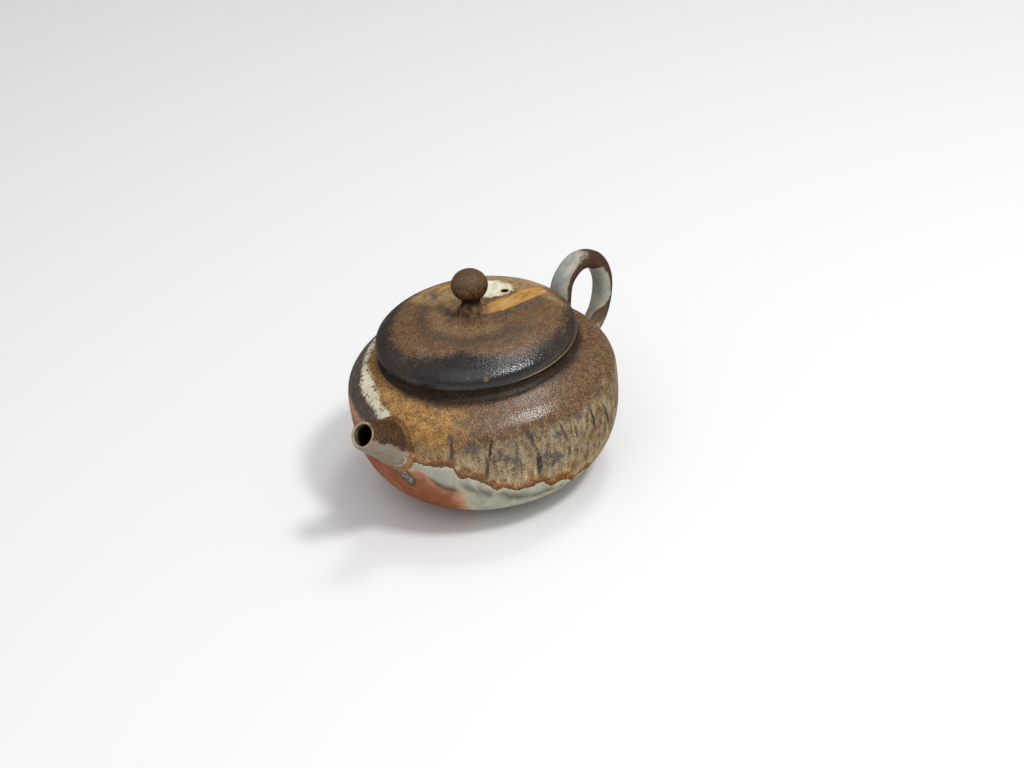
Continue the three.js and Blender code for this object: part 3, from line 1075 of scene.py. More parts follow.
    def dress(self, made: Object, outside: Array) -> None:
        """Stores the body's fields: ash, glaze, streaks, marks, trace and wall.

        Args:
            made: the body's object.
            outside: 1 for vertices of the outer wall, 0 of the inner one.
        """
        points = places_of(made)
        azimuth = azimuth_of(points)
        climb = POT.climb(points[:, 2])
        run = self.run_distance(points)
        slow = wander(points, 6, 41)
        melt = ease(climb + 2 * slow, 7, 0.5) * ease(azimuth + 3 * slow, 12, 33)
        back = np.maximum(ease(azimuth, 140, 178), ease(azimuth, -112, -140))
        melt += back * (ease(climb + 2.4 * slow, 11, 4) - melt)
        ochre = ease(np.abs(azimuth - 9) + 4 * slow, 33, 10) * ease(climb, -11, -5)
        ochre = ochre * ease(climb + 1.5 * slow, 19, 14)
        foot = POT.climb(ring_line(azimuth, self.joined(self.patch_foot_sides, self.patch_foot_pixels)))
        top = POT.climb(ring_line(azimuth, self.joined(self.patch_top_sides, self.patch_top_pixels)))
        patch = np.minimum(climb - foot, top - climb) + 0.4 * wander(points, 2.6, 55)
        band = ease(azimuth, -3, -9) * ease(azimuth, -132, -108)
        band = band * ease(climb, foot + 1, foot - 0.3)
        tanned = ease(climb, foot - 0.5, foot + 1) * ease(azimuth, 12, -4)
        tanned = tanned * ease(azimuth, -150, -118)
        tongue_foot = self.joined(self.tongue_foot_sides, self.tongue_foot_pixels)
        tongue = climb - POT.climb(ring_line(azimuth, tongue_foot)) + 0.3 * slow
        pale = (0.25 * ease(tongue, -6, -0.7) + 0.75 * ease(tongue, -0.7, 1.1)) * ease(azimuth, -8, 0)
        glazed = ease(azimuth + 1.8 * slow, self.tongue_start, self.tongue_end)
        glazed = np.maximum(glazed, ease(azimuth + 6 * slow, -138, -158))
        pale = np.maximum(pale * ease(azimuth, 60, 40), glazed)
        # Painted shadow line along the lower edge of the pale tongue.
        tongue_shadow = bell(tongue, -0.3, 0.8 + 0.6 * ease(azimuth, 12, 20))
        tongue_shadow = tongue_shadow * ease(azimuth + 2 * slow, 13, 19) * ease(azimuth, 29, 25)
        side = np.radians(azimuth) * POT.radius
        blot_side, blot_height = SIGHT.on_wall(self.blot_pixels).T
        start, end = np.stack([np.radians(blot_side) * POT.radius, POT.climb(blot_height)], axis=1)
        here = np.stack([side, climb], axis=1)
        along = np.clip((here - start) @ (end - start) / np.sum((end - start) ** 2), 0.0, 1.0)
        blot = self.blot_width * (1.0 + 0.3 * along)
        blot = blot - np.linalg.norm(here - start - along[:, None] * (end - start), axis=1)
        left = ease(azimuth, 4, -18) * ease(azimuth, -150, -118)
        run_line = self.joined(self.run_sides, self.run_pixels)
        soft_run = climb - POT.climb(ring_line(azimuth, run_line, 9.0)) + 1.2 * slow
        mottle = ease(azimuth, 27, 33) * bell(soft_run, -4.2, 2)
        # Painted shade: a dark band below the collar, under the lid's overhang, and dark rings round the
        # handle's roots.
        collar_and_root_shade = ease(climb + 0.5 * slow - 1.6 * left, 16, 19.2)
        for height in (HANDLE_TOP_ROOT, HANDLE_LOW_ROOT):
            away = np.hypot(beside(azimuth, TURN / 2), climb - POT.climb(height))
            collar_and_root_shade = np.maximum(collar_and_root_shade, ease(away + 1.2 * slow, 8, 4.5))
        store(made, "ash", np.clip(run, -30.0, 30.0), melt, ochre)
        store(made, "glaze", pale, np.clip(patch, -8.0, 8.0), band)
        store(made, "streaks", *self.streak_fields(points))
        store(made, "marks", self.blotch_field(points), tanned, left)
        # The trace holds the painted shade below the collar and round the handle's roots, the painted
        # shadow line under the pale tongue, and the blot.
        store(made, "trace", collar_and_root_shade, tongue_shadow, np.clip(blot + 0.3 * slow, -4.0, 4.0))
        store(made, "wall", outside, mottle, left)


@dataclass(frozen=True)
class BodyGlaze(Finish):
    """The body's firing: brown ash above a run line, celadon and bare flashed clay below."""

    name: ClassVar[str] = "body glaze"
    surface: ClassVar[Surface] = Surface(0.15, 0.6, 0.055, 0.42)

    def melted(self, bench: Bench, colour: Wire, grain: Wire) -> Wire:
        """The belt where ash melted and ran: streaky tans, blotches, drips and dark streaks.

        Args:
            bench: bench of the material.
            colour: colour of the ash so far.
            grain: the grain's tone.

        Returns:
            The colour with the belt on it.
        """
        place, long = bench.place(), bench.place((1.0, 1.0, 0.28))
        run, melt, _ = bench.field("ash")
        side, dark, burnt = bench.field("streaks")
        spotty = noise(place, 1.1, 3, 0.6)
        value = noise(long, 1.3, 3, 0.6) * 0.72 - 0.03
        value = noise(place, 3.4, 2) * 0.3 + value
        value = (grain - 0.5) * 0.36 + value
        value = value + span(run, 11, 3, -0.05, 0.15)
        glassy = ramp(
            value, (0.18, Tone.UMBER), (0.32, Tone.BROWN), (0.42, Tone.OLIVE), (0.54, Tone.TAN),
            (0.66, Tone.BUFF), (0.84, Tone.CREAM),
        )
        colour = mix(melt, colour, glassy)
        green = span(noise(long, 2.2, 2), 0.46, 0.64, 0, 0.5) * melt
        colour = mix(green, colour, mix(grain, Tone.OLIVE, Tone.CELADON))
        seam = (noise(long, 1.6, 3) - 0.5) * 7.0 + run
        burn = span(seam, 4.4, 1.2) * melt
        colour = mix(burn, colour, ramp(grain, (0, Tone.RUST), (0.75, Tone.AMBER), (1, Tone.OCHRE)))
        torn = (spotty - 0.5) * 1.7 + bench.field("marks")[0]
        plum = mix(grain, Tone.CHARCOAL, Tone.PLUM)
        colour = mix(span(torn, 0.3, 0.75, 0, 0.85), colour, plum)
        fine = noise(bench.place((1.7, 1.7, 0.2)), 1.5, 2.0, 0.5)
        trickle = span(fine, 0.56, 0.68) * span(run, 9, 2)
        rusty = mix(grain, Tone.RUST, Tone.AMBER)
        colour = mix(trickle * melt, colour, rusty)
        aside = (spotty - 0.5) * 1.5 + side
        aside = abs(aside)
        glow = span(aside, 2.4, 0.6, 0, 0.85) * burnt
        colour = mix(glow, colour, rusty)
        core = span(aside, 1.3, 0.75) * dark
        core = core * span(noise(long, 1.2), 0.2, 0.32)
        return mix(core, colour, Tone.SOOT)

    def ash(self, bench: Bench, grain: Wire) -> Wire:
        """Colour of the ash above the run line: brown, ochre, the melted belt and the left side, with
        painted shade below the collar and round the handle's roots.
        """
        place = bench.place()
        ochre = bench.field("ash")[2]
        _, patch, band = bench.field("glaze")
        tanned = bench.field("marks")[1]
        colour = self.ash_brown(bench, grain)
        gold = ramp(grain, (0, Tone.BROWN), (0.45, Tone.OCHRE), (1, Tone.GOLD))
        burnt = span(noise(bench.place((1.0, 1.0, 0.4)), 1.8, 3.0, 0.6), 0.48, 0.66, 0.0, 0.7)
        gold = mix(burnt, gold, Tone.AMBER)
        clouds = clouds_of(place, 4.2, 0.3, 0.62)
        share = ochre * (clouds * 0.45 + 0.55)
        colour = mix(share, colour, gold)
        tan = ramp(grain, (0, Tone.BROWN), (0.5, Tone.OCHRE), (1, Tone.BUFF))
        colour = mix(tanned * 0.9, colour, tan)
        colour = self.melted(bench, colour, grain)
        black = mix(grain, Tone.SOOT, Tone.UMBER)
        sooty = mix(grain, Tone.CHARCOAL, Tone.PLUM)
        colour = mix(band * 0.93, colour, sooty)
        edge = ragged_edge(place, patch, 1.5, 0.3)
        pale = mix(clouds * 0.5, Tone.CELADON, Tone.MILK)
        pale = mix(span(edge["Line"], 0.1, 0.8, 0, 0.7), pale, Tone.TAN)
        hole, chance = cells(place, 1.5)
        hole = span(hole, 0.5, 0.36) * span(axis(chance, "X"), 0.35, 0.4)
        near = span(patch, -3.8, -1) * span(patch, 2.2, 1.2)
        colour = mix(edge["Inside"], colour, pale)
        spots = hole * near * tanned * 0.8
        colour = mix(spots, colour, Tone.BROWN)
        # Painted shade below the collar and round the handle's roots, in near-black.
        collar_and_root_shade = bench.field("trace")[0] * 0.9
        return mix(collar_and_root_shade, colour, black)

    def under(self, bench: Bench) -> Wire:
        """Colour below the run line: bare flashed clay, celadon where it is pale, and a painted shadow
        line under the pale tongue.
        """
        place, long = bench.place(), bench.place((1.0, 1.0, 0.3))
        pale = bench.field("glaze")[0]
        _, mottled, left = bench.field("wall")
        _, tongue_shadow, blot = bench.field("trace")
        run = bench.field("ash")[0]
        fine = noise(place, 0.7, 3, 0.7)
        cloud = clouds_of(place, 11)
        bare = mix(cloud, Tone.CLAY, Tone.FLASH)
        blush = span(run, -7, 0) * left
        bare = mix(blush, bare, Tone.SALMON)
        bare = mix(span(fine, 0.6, 0.75, 0, 0.4), bare, Tone.RUST)
        mottle = clouds_of(long, 3.4, 0.32, 0.58)
        glaze = mix(mottle * 0.45 + 0.1, Tone.CELADON, Tone.MIST)
        deep = (mottle * 0.6 + 0.25) * mottled
        glaze = mix(deep, glaze, Tone.MOSS)
        glaze = mix(span(run, -1.6, -0.2, 0, 0.3), glaze, Tone.MILK)
        glaze = mix(span(fine, 0.42, 0.28, 0, 0.35), glaze, Tone.MOSS)
        shaken = (noise(place, 3, 2) - 0.5) * 0.6 + pale
        bare = mix(span(shaken, -0.05, 0.45), bare, Tone.SALMON)
        glaze = mix(span(shaken, 1, 0.6, 0, 0.6), glaze, Tone.CREAM)
        colour = mix(span(shaken, 0.35, 0.85), bare, glaze)
        # Painted shadow line along the pale tongue's lower edge.
        dusky = mix(noise(place, 1.4), Tone.UMBER, Tone.MOSS)
        colour = mix(tongue_shadow * 0.92, colour, dusky)
        inner = mix(span(noise(place, 1.3), 0.4, 0.62), Tone.MOSS, Tone.MIST)
        colour = mix(span(blot, 0.3, 0.7, 0, 0.9), colour, inner)
        rim = span(blot, -0.5, 0.3) * span(blot, 1.3, 0.5, 0, 0.85)
        return mix(rim, colour, mix(fine, Tone.SOOT, Tone.MOSS))

    def lay_out(self, bench: Bench) -> tuple:
        """Colour, gloss and height."""
        place = bench.place()
        run, melt, _ = bench.field("ash")
        outside, _, left = bench.field("wall")
        pale = bench.field("glaze")[0]
        grain = ash_grain(place)
        wide = span(noise(place, 2.6, 3), 0.36, 0.64, 1.4, 6.5)
        soft = left * 1.5 + 0.12
        edge = ragged_edge(place, run, 0.9, soft, wide)
        right = span(left, 0.3, 0)
        colour = self.ash(bench, grain["Tone"])
        rusty = ramp(grain["Tone"], (0.2, Tone.RUST), (0.85, Tone.AMBER), (1, Tone.OCHRE))
        line = span(edge["Line"], 0.05, 0.5) * right
        colour = mix(line, colour, rusty)
        brink = span(edge["Line"], 0.66, 0.9, 0, 0.75) * right
        colour = mix(brink, colour, Tone.RUST)
        colour = mix(edge["Inside"], self.under(bench), colour)
        lining = clouds_of(place, 8)
        lining = mix(lining, Tone.CELADON, Tone.PORCELAIN)
        colour = mix(outside, lining, colour)
        ashy = edge["Inside"] * outside
        dull = bench.field("glaze")[2] * ashy * -0.5
        gloss = dull + 1.0 - ashy * 0.25
        gloss = melt * ashy * 0.1 + gloss
        bare = (1.0 - pale) * (1.0 - ashy)
        gloss = gloss - bare * outside * 0.85
        rings = turned(place, 2.3)
        peel = ashy * 0.9 + 0.1
        height = grain["Height"] * peel
        return colour, gloss, rings * 0.08 + height


@dataclass
class Body:
    """The thrown bowl: outer and inner walls, floor, and the pouring hole behind the spout."""

    columns: int = 480
    spacing: float = 0.62
    inner_spacing: float = 1.3
    base: float = 1.2
    floor: float = 3.0
    mouth: float = 28.6
    hole_radius: float = 4.7
    bare_depth: float = 0.2

    def profile(self) -> Array:
        """(radius, height) points from the underside's middle up the outside and down the inside."""
        outside = POT.outline(self.base, COLLAR_BASE, self.spacing)
        inner_top = COLLAR_BASE - WALL
        inside = POT.inset(WALL).outline(self.base + self.floor, inner_top, self.inner_spacing)[::-1]
        inside = inside[(inside[:, 0] > self.mouth) | (inside[:, 1] < POT.widest)]
        under = resampled(np.array([[1.0, self.base], [outside[0, 0] - 0.5, self.base]]), 2.0)
        lip = np.array([[self.mouth, COLLAR_BASE], [self.mouth, inner_top + 0.8]])
        floor = np.array([[inside[-1, 0] - 0.5, inside[-1, 1]], [0.8, self.base + self.floor]])
        across = resampled(np.array([outside[-1] - [0.5, 0.0], lip[0]]), 1.2)
        return np.concatenate([under, outside, across, lip[1:], inside, resampled(floor, 1.2)])

    def relief(self, points: Array, run: Array) -> Array:
        """Depth below the full curve: bare clay lies lowest, and the ash's edge rolls up.

        Args:
            points: (n, 3) places on the outer wall.
            run: distance above the ash's edge.

        Returns:
            One depth for each place.
        """
        cover = 0.07 * ease(run, -0.4, 0.5)
        roll = 0.03 * bell(run, 0.9, 0.8)
        rings = 0.02 * np.sin(points[:, 2] * 2.4 + wander(points, 20, 77))
        hand = 0.05 * wander(points, 26, 61)
        return np.clip(self.bare_depth - cover - roll + rings + hand, 0.01, 0.4)

    def build(self) -> Object:
        """Builds and dresses the bowl."""
        made = Skin.turned(self.profile(), self.columns, ring=False).to_object("bowl")
        stations = ((-8.0, self.hole_radius), (0.0, self.hole_radius), (8.0, self.hole_radius))
        pierced(made, [drill_skin(SPOUT_ROOT, SPOUT_AXIS, stations)])
        points = places_of(made)
        off = POT.stand_off(points)
        outside = ease(off, -1.2, -0.4) * (points[:, 2] > self.base - 0.5)
        ash = AshMap()
        depth = self.relief(points, ash.run_distance(points)) * ease(off, -0.8, -0.1)
        depth = depth * ease(points[:, 2], self.base, self.base + 3)
        move_to(made, points - POT.normals(points) * depth[:, None])
        ash.dress(made, outside)
        return made


@dataclass(frozen=True)
class BareClay(Finish):
    """Unglazed clay, flashed in clouds, with fine pits, iron specks and pale wad marks."""

    pale: Tone
    flashed: Tone
    cloud: float
    flash_share: float = 1.0
    name: ClassVar[str] = "bare clay"
    surface: ClassVar[Surface] = Surface(0.5, 0.68, 0.03)

    def lay_out(self, bench: Bench) -> tuple:
        """Colour, gloss and height of bare clay; attribute "clay" holds wad marks and wear."""
        place = bench.place()
        wad, wear, _ = bench.field("clay")
        flash = clouds_of(place, self.cloud)
        share = flash * self.flash_share
        colour = mix(share, self.pale, self.flashed)
        colour = mix(wear * 0.6, colour, Tone.PORCELAIN)
        ring = ragged_edge(place, wad, 0.7, width=0.9)
        colour = mix(ring["Inside"] * 0.75, colour, Tone.PORCELAIN)
        colour = mix(ring["Line"] * 0.5, colour, Tone.RUST)
        grain = ash_grain(place, 0.8)
        colour = mix(grain["Specks"] * 0.7, colour, Tone.RUST)
        rings = turned(place, 1.1)
        height = rings * 0.3 + grain["Height"]
        return colour, grain["Tone"], height


@dataclass(frozen=True)
class CollarGlaze(Finish):
    """Dark ash glaze on the collar, worn pale along its top edge."""

    name: ClassVar[str] = "collar glaze"
    surface: ClassVar[Surface] = Surface(0.24, 0.5, 0.06, 0.14)

    def lay_out(self, bench: Bench) -> tuple:
        """Colour, gloss and height."""
        place = bench.place()
        outside, top, _ = bench.field("collar")
        grain = ash_grain(place)
        dark = ramp(grain["Tone"], (0, Tone.SOOT), (0.8, Tone.UMBER), (1, Tone.BROWN))
        moss = clouds_of(place, 12)
        dark = mix(moss * 0.12, dark, Tone.MOSS)
        lining = mix(moss, Tone.CELADON, Tone.PORCELAIN)
        colour = mix(outside, lining, dark)
        wear = worn(place, top, 0.4)
        colour = mix(wear * 0.6, colour, Tone.CREAM)
        return colour, grain["Tone"], grain["Height"]


@dataclass
class Collar:
    """The low upright ring round the mouth, a little waisted, with soft top edges."""

    columns: int = 320
    inner: float = 28.6
    outer: float = COLLAR_RADIUS
    rounding: float = 0.5
    sink: float = 0.25
    skirt: float = 1.3

    def profile(self) -> Array:
        """(radius, height) points of the ring's section, once round."""
        top = RIM - 0.02
        centre = top - self.rounding
        outer_top = round_arc((self.outer - 0.25 - self.rounding, centre), self.rounding, 0, 90)
        inner_top = round_arc((self.inner + 0.05 + self.rounding, centre), self.rounding, 90, 180)
        skirt = self.outer + self.skirt
        shoulder = POT.shoulder_at(skirt)
        foot = np.array([
            [self.inner + 0.3, COLLAR_BASE - self.sink], [self.outer - 0.1, COLLAR_BASE - self.sink],
            [skirt, shoulder - self.sink], [self.outer + 0.62 * self.skirt, COLLAR_BASE - 0.13],
            [self.outer + 0.3 * self.skirt, COLLAR_BASE + 0.17], [self.outer, COLLAR_BASE + 0.5],
            [self.outer - 0.24, COLLAR_BASE + 1.0], [self.outer - 0.32, COLLAR_BASE + 1.8],
        ])
        inside = np.array([
            [self.inner + 0.1, COLLAR_BASE + 1.2], [self.inner + 0.02, COLLAR_BASE + 0.1],
        ])
        return resampled(np.concatenate([foot, outer_top, inner_top, inside, foot[:1]]), 0.3)[:-1]

    def build(self) -> Object:
        """Builds and dresses the collar."""
        made = Skin.turned(self.profile(), self.columns, ring=True).to_object("collar_ring")
        points = places_of(made)
        radius = radius_of(points)
        lumps = 0.05 * wander(points, 9, 91) * ease(points[:, 2], COLLAR_BASE, COLLAR_BASE + 1.5)
        points[:, :2] *= (1.0 - (0.03 + lumps.clip(-0.03, 0.1)) / radius)[:, None]
        move_to(made, points)
        outside = ease(radius, self.inner + 0.9, self.outer - 0.9)
        store(made, "collar", outside, RIM - points[:, 2], 0.0 * radius)
        return made


@dataclass
class Foot:
    """The turned foot: a flat ring to stand on round a shallow hollow cut in a spiral."""

    columns: int = 240
    radius: float = 23.4
    height: float = 1.2
    rounding: float = 0.5
    ring_inner: float = 17.2
    hollow: float = 0.4
    groove: float = 0.07
    groove_step: float = 1.6

    def profile(self) -> Array:
        """(radius, height) points from the underside's middle out and up to the top's middle."""
        edge = round_arc((self.radius - self.rounding, self.rounding), self.rounding, -90, 0)
        line = np.array([
            [0.8, self.hollow], [self.ring_inner - 0.8, self.hollow], [self.ring_inner, 0.05],
            [self.ring_inner + 0.4, 0.0], *edge, [self.radius, self.height],
            [self.radius - 0.3, self.height + 0.25], [0.8, self.height + 0.25],
        ])
        return resampled(line, 0.42)

    def build(self) -> Object:
        """Builds and dresses the foot.

        The trimming spiral is groove (1 + cos(2 pi r / step - azimuth)) / 2 deep inside the ring.
        """
        made = Skin.turned(self.profile(), self.columns, ring=False).to_object("turned_foot")
        points = places_of(made)
        radius = radius_of(points)
        azimuth = np.radians(azimuth_of(points))
        wave = 0.5 + 0.5 * np.cos(2.0 * math.pi * radius / self.groove_step - azimuth)
        within = ease(radius, self.ring_inner - 0.3, self.ring_inner - 1.5)
        under = ease(points[:, 2], 0.6, 0.45) * within
        points[:, 2] += self.groove * wave * under * ease(radius, 0.5, 2.5)
        move_to(made, points)
        spots = np.radians([35.0, 155.0, 275.0])
        middles = 19.8 * np.stack([np.cos(spots), np.sin(spots)], axis=1)
        away = np.linalg.norm(points[:, None, :2] - middles[None], axis=2).min(axis=1)
        wear = ease(np.abs(radius - 22.9), 0.7, 0.1)
        store(made, "clay", 2.9 - away, wear, 0.0 * away)
        return made


@dataclass
class Flange:
    """The ring under the lid that drops into the mouth: bare, with soft lower edges."""

    columns: int = 300
    inner: float = 25.7
    outer: float = 27.9
    depth: float = 5.5
    rounding: float = 0.6
    sink: float = 0.25

    def profile(self) -> Array:
        """(radius, height) points of the ring's section, once round."""
        low = RIM - self.depth
        inside = round_arc((self.inner + self.rounding, low + self.rounding), self.rounding, 180, 270)
        outside = round_arc((self.outer - self.rounding, low + self.rounding), self.rounding, 270, 360)
        top = np.array([[self.outer, RIM + self.sink], [self.inner + 0.15, RIM + self.sink]])
        return resampled(np.concatenate([inside, outside, top, inside[:1]]), 0.35)[:-1]

    def build(self) -> Object:
        """Builds and dresses the flange."""
        made = Skin.turned(self.profile(), self.columns, ring=True).to_object("lid_ring")
        points = places_of(made)
        radius = radius_of(points)
        inward = np.where(radius > (self.inner + self.outer) / 2.0, 1.0, -1.0)
        rings = 0.025 + 0.025 * np.sin(points[:, 2] * 2.9 + wander(points, 12, 18))
        points[:, :2] *= (1.0 - inward * rings / radius)[:, None]
        move_to(made, points)
        wear = ease(points[:, 2], RIM - self.depth + 0.9, RIM - self.depth + 0.2)
        store(made, "clay", 0.0 * wear - 9.0, wear, 0.0 * wear)
        return made


@dataclass(frozen=True)
class SpoutGlaze(Finish):
    """Granular brown on the spout's upper half, grey-white below, cream lip and thin root line; the bore
    darkens inwards, partly dark glaze and partly painted shade.
    """

    name: ClassVar[str] = "spout glaze"
    surface: ClassVar[Surface] = Surface(0.3, 0.6, 0.075)

    def lay_out(self, bench: Bench) -> tuple:
        """Colour, gloss and height."""
        place = bench.place()
        crown, _, outside = bench.field("spout")
        root, lip, deep = bench.field("ends")
        grain = ash_grain(place, 0.75)
        edge = ragged_edge(place, crown, 1.0, 0.5)
        brown = ramp(
            grain["Tone"], (0.0, Tone.SOOT), (0.3, Tone.UMBER), (0.7, Tone.BROWN), (1.0, Tone.FAWN),
        )
        clouds = clouds_of(place, 2.6)
        grey = mix(clouds * 0.35 + 0.35, Tone.TAN, Tone.MIST)
        grey = mix(grain["Specks"] * 0.8, grey, Tone.UMBER)
        grey = mix(span(grain["Tone"], 0.4, 0.1, 0, 0.5), grey, Tone.MOSS)
        colour = mix(edge["Inside"], grey, brown)
        below = 1.0 - edge["Inside"]
        broken = span(noise(place, 1.3, 3, 0.6), 0.38, 0.58)
        shaken = (noise(place, 1.8) - 0.5) * 1.8 + root
        thin = span(shaken, 2.2, 1.6) * span(shaken, 0.8, 1.2)
        near = span(axis(place, "Y"), -1.5, 1.5)
        thin = thin * broken * near * below
        colour = mix(thin, colour, Tone.CREAM)
        ochre = ramp(grain["Tone"], (0, Tone.RUST), (0.5, Tone.AMBER), (1, Tone.CREAM))
        low = span(root, 1.1, 0.5, 0, 0.85) * below
        colour = mix(low, colour, ochre)
        high = span(root, 1.2, 0.4, 0, 0.6) * edge["Inside"]
        colour = mix(high, colour, mix(grain["Tone"], Tone.UMBER, Tone.OCHRE))
        inner = mix(clouds, Tone.MOSS, Tone.OLIVE)
        # Painted shade deep in the bore, partly dark glaze: soot from 1.2 to 4.5 mm in from the tip.
        inner = mix(span(deep, 1.2, 4.5), inner, Tone.SOOT)
        inner = mix(span(deep, 1.4, 0.3, 0, 0.7), inner, Tone.MIST)
        colour = mix(outside, inner, colour)
        wear = worn(place, lip, 0.3)
        colour = mix(wear * 0.8, colour, Tone.BUFF)
        gloss = 0.85 - edge["Inside"] * 0.55
        peel = edge["Inside"] * 0.6 + 0.4
        return colour, gloss, grain["Height"] * peel


@dataclass
class Spout:
    """The straight tapered spout: a tube drawn out of the wall, with a thin rounded lip."""

    columns: int = 144
    rows: int = 72
    length: float = 15.2
    root_radius: float = 6.35
    tip_radius: float = 4.44
    swell: float = 0.45
    flare: float = 0.8
    flare_length: float = 4.0
    root_wall: float = 1.6
    tip_wall: float = 0.95
    bore: float = 4.6
    sink: float = 0.9
    fillet: float = 1.2

    def radius(self, along: Array) -> Array:
        """Outer radius: a straight taper, a parabola's swell, and a flare squared at the root."""
        share = np.maximum(along, 0.0) / self.length
        near = np.clip(1.0 - along / self.flare_length, 0.0, 1.0)
        taper = self.root_radius + (self.tip_radius - self.root_radius) * share
        return taper + self.swell * 4.0 * share * (1.0 - share) + self.flare * near * near

    def bore_radius(self, along: Array) -> Array:
        """Inner radius: the outer one less a wall that thins to the tip, never over the bore."""
        share = np.clip(along / self.length, 0.0, 1.0)
        wall = self.root_wall + (self.tip_wall - self.root_wall) * share
        return np.minimum(self.radius(along) - wall, self.bore)

    def build(self) -> Object:
        """Builds and dresses the spout.

        A place is root + t axis + r (cos a sideways + sin a up). Its rows run up the outside, over the
        lip in a half circle, and down the bore.
        """
        angle = full_turn(self.columns)
        spokes = np.outer(np.cos(angle), SIDEWAYS) + np.outer(np.sin(angle), SPOUT_UP)

        def tube(along: Array, reach: Array) -> Array:
            """Places at a reach from the spout's axis, one for each column."""
            return SPOUT_ROOT + along[..., None] * SPOUT_AXIS + reach[..., None] * spokes

        def outer(along: Array) -> Array:
            """Places on the plain outer tube."""
            return tube(along, self.radius(along))

        def inner(along: Array) -> Array:
            """Places on the bore."""
            return tube(along, self.bore_radius(along))

        half = (self.tip_radius - float(self.bore_radius(np.array(self.length)))) / 2.0
        last = self.length - half
        steps = np.linspace(0.0, 1.0, self.rows)[:, None] ** 1.4
        start = meeting(outer, -7.0, 7.0, self.sink, self.columns)
        outside = outer(start + (last - start) * steps)
        drawn = drawn_out(POT.stand_off(outside), self.fillet)
        outside = outside + drawn[..., None] * spokes
        turn = np.radians(np.linspace(0.0, 180.0, 9))[1:-1, None]
        middle = self.tip_radius - half
        lip = tube(last + half * np.sin(turn), middle + half * np.cos(turn))
        end = meeting(inner, -7.0, 7.0, self.sink, self.columns)
        inside = inner(end + (last - end) * steps[::-1])
        made = Skin.from_grid(np.concatenate([outside, lip, inside]), ring=True).to_object("spout_tube")
        points = places_of(made)
        away = points - SPOUT_ROOT
        along, up, side = away @ SPOUT_AXIS, away @ SPOUT_UP, away @ SIDEWAYS
        spoke = np.hypot(up, side)
        free = ease(along, 1, 5)
        lumps = 0.07 * wander(points, 5, 71) + 0.02 * wander(points, 2, 72)
        shrink = (0.07 + lumps).clip(0.0, 0.2) * free
        points -= (shrink / spoke)[:, None] * (up[:, None] * SPOUT_UP + side[:, None] * SIDEWAYS)
        short = 0.1 * (1.0 + wander(points, 4, 73)).clip(0.0, 2.0) * ease(along, 10, 15)
        points -= short[:, None] * SPOUT_AXIS
        move_to(made, points)
        wall = self.radius(along) - self.bore_radius(along)
        out = ease(spoke, self.radius(along) - 0.75 * wall, self.radius(along) - 0.35 * wall)
        crown = up + 0.7 - 0.03 * along + 0.5 * wander(points, 2.4, 74)
        store(made, "spout", crown, along, out)
        store(made, "ends", POT.stand_off(points), self.length - along, self.length - along)
        return made


@dataclass(frozen=True)
class StrainerGlaze(Finish):
    """Pale glaze on the strainer, thin and warm round each hole."""

    name: ClassVar[str] = "strainer glaze"
    surface: ClassVar[Surface] = Surface(0.22, 0.4, 0.02)

    def lay_out(self, bench: Bench) -> tuple:
        """Colour, gloss and height."""
        place = bench.place()
        hole = bench.field("strainer")[0]
        grain = ash_grain(place, 0.7)
        clouds = clouds_of(place, 5)
        colour = mix(clouds, Tone.CELADON, Tone.MILK)
        colour = mix(grain["Specks"] * 0.5, colour, Tone.RUST)
        wear = worn(place, hole, 0.35)
        colour = mix(wear * 0.7, colour, Tone.CREAM)
        return colour, grain["Tone"], grain["Height"]


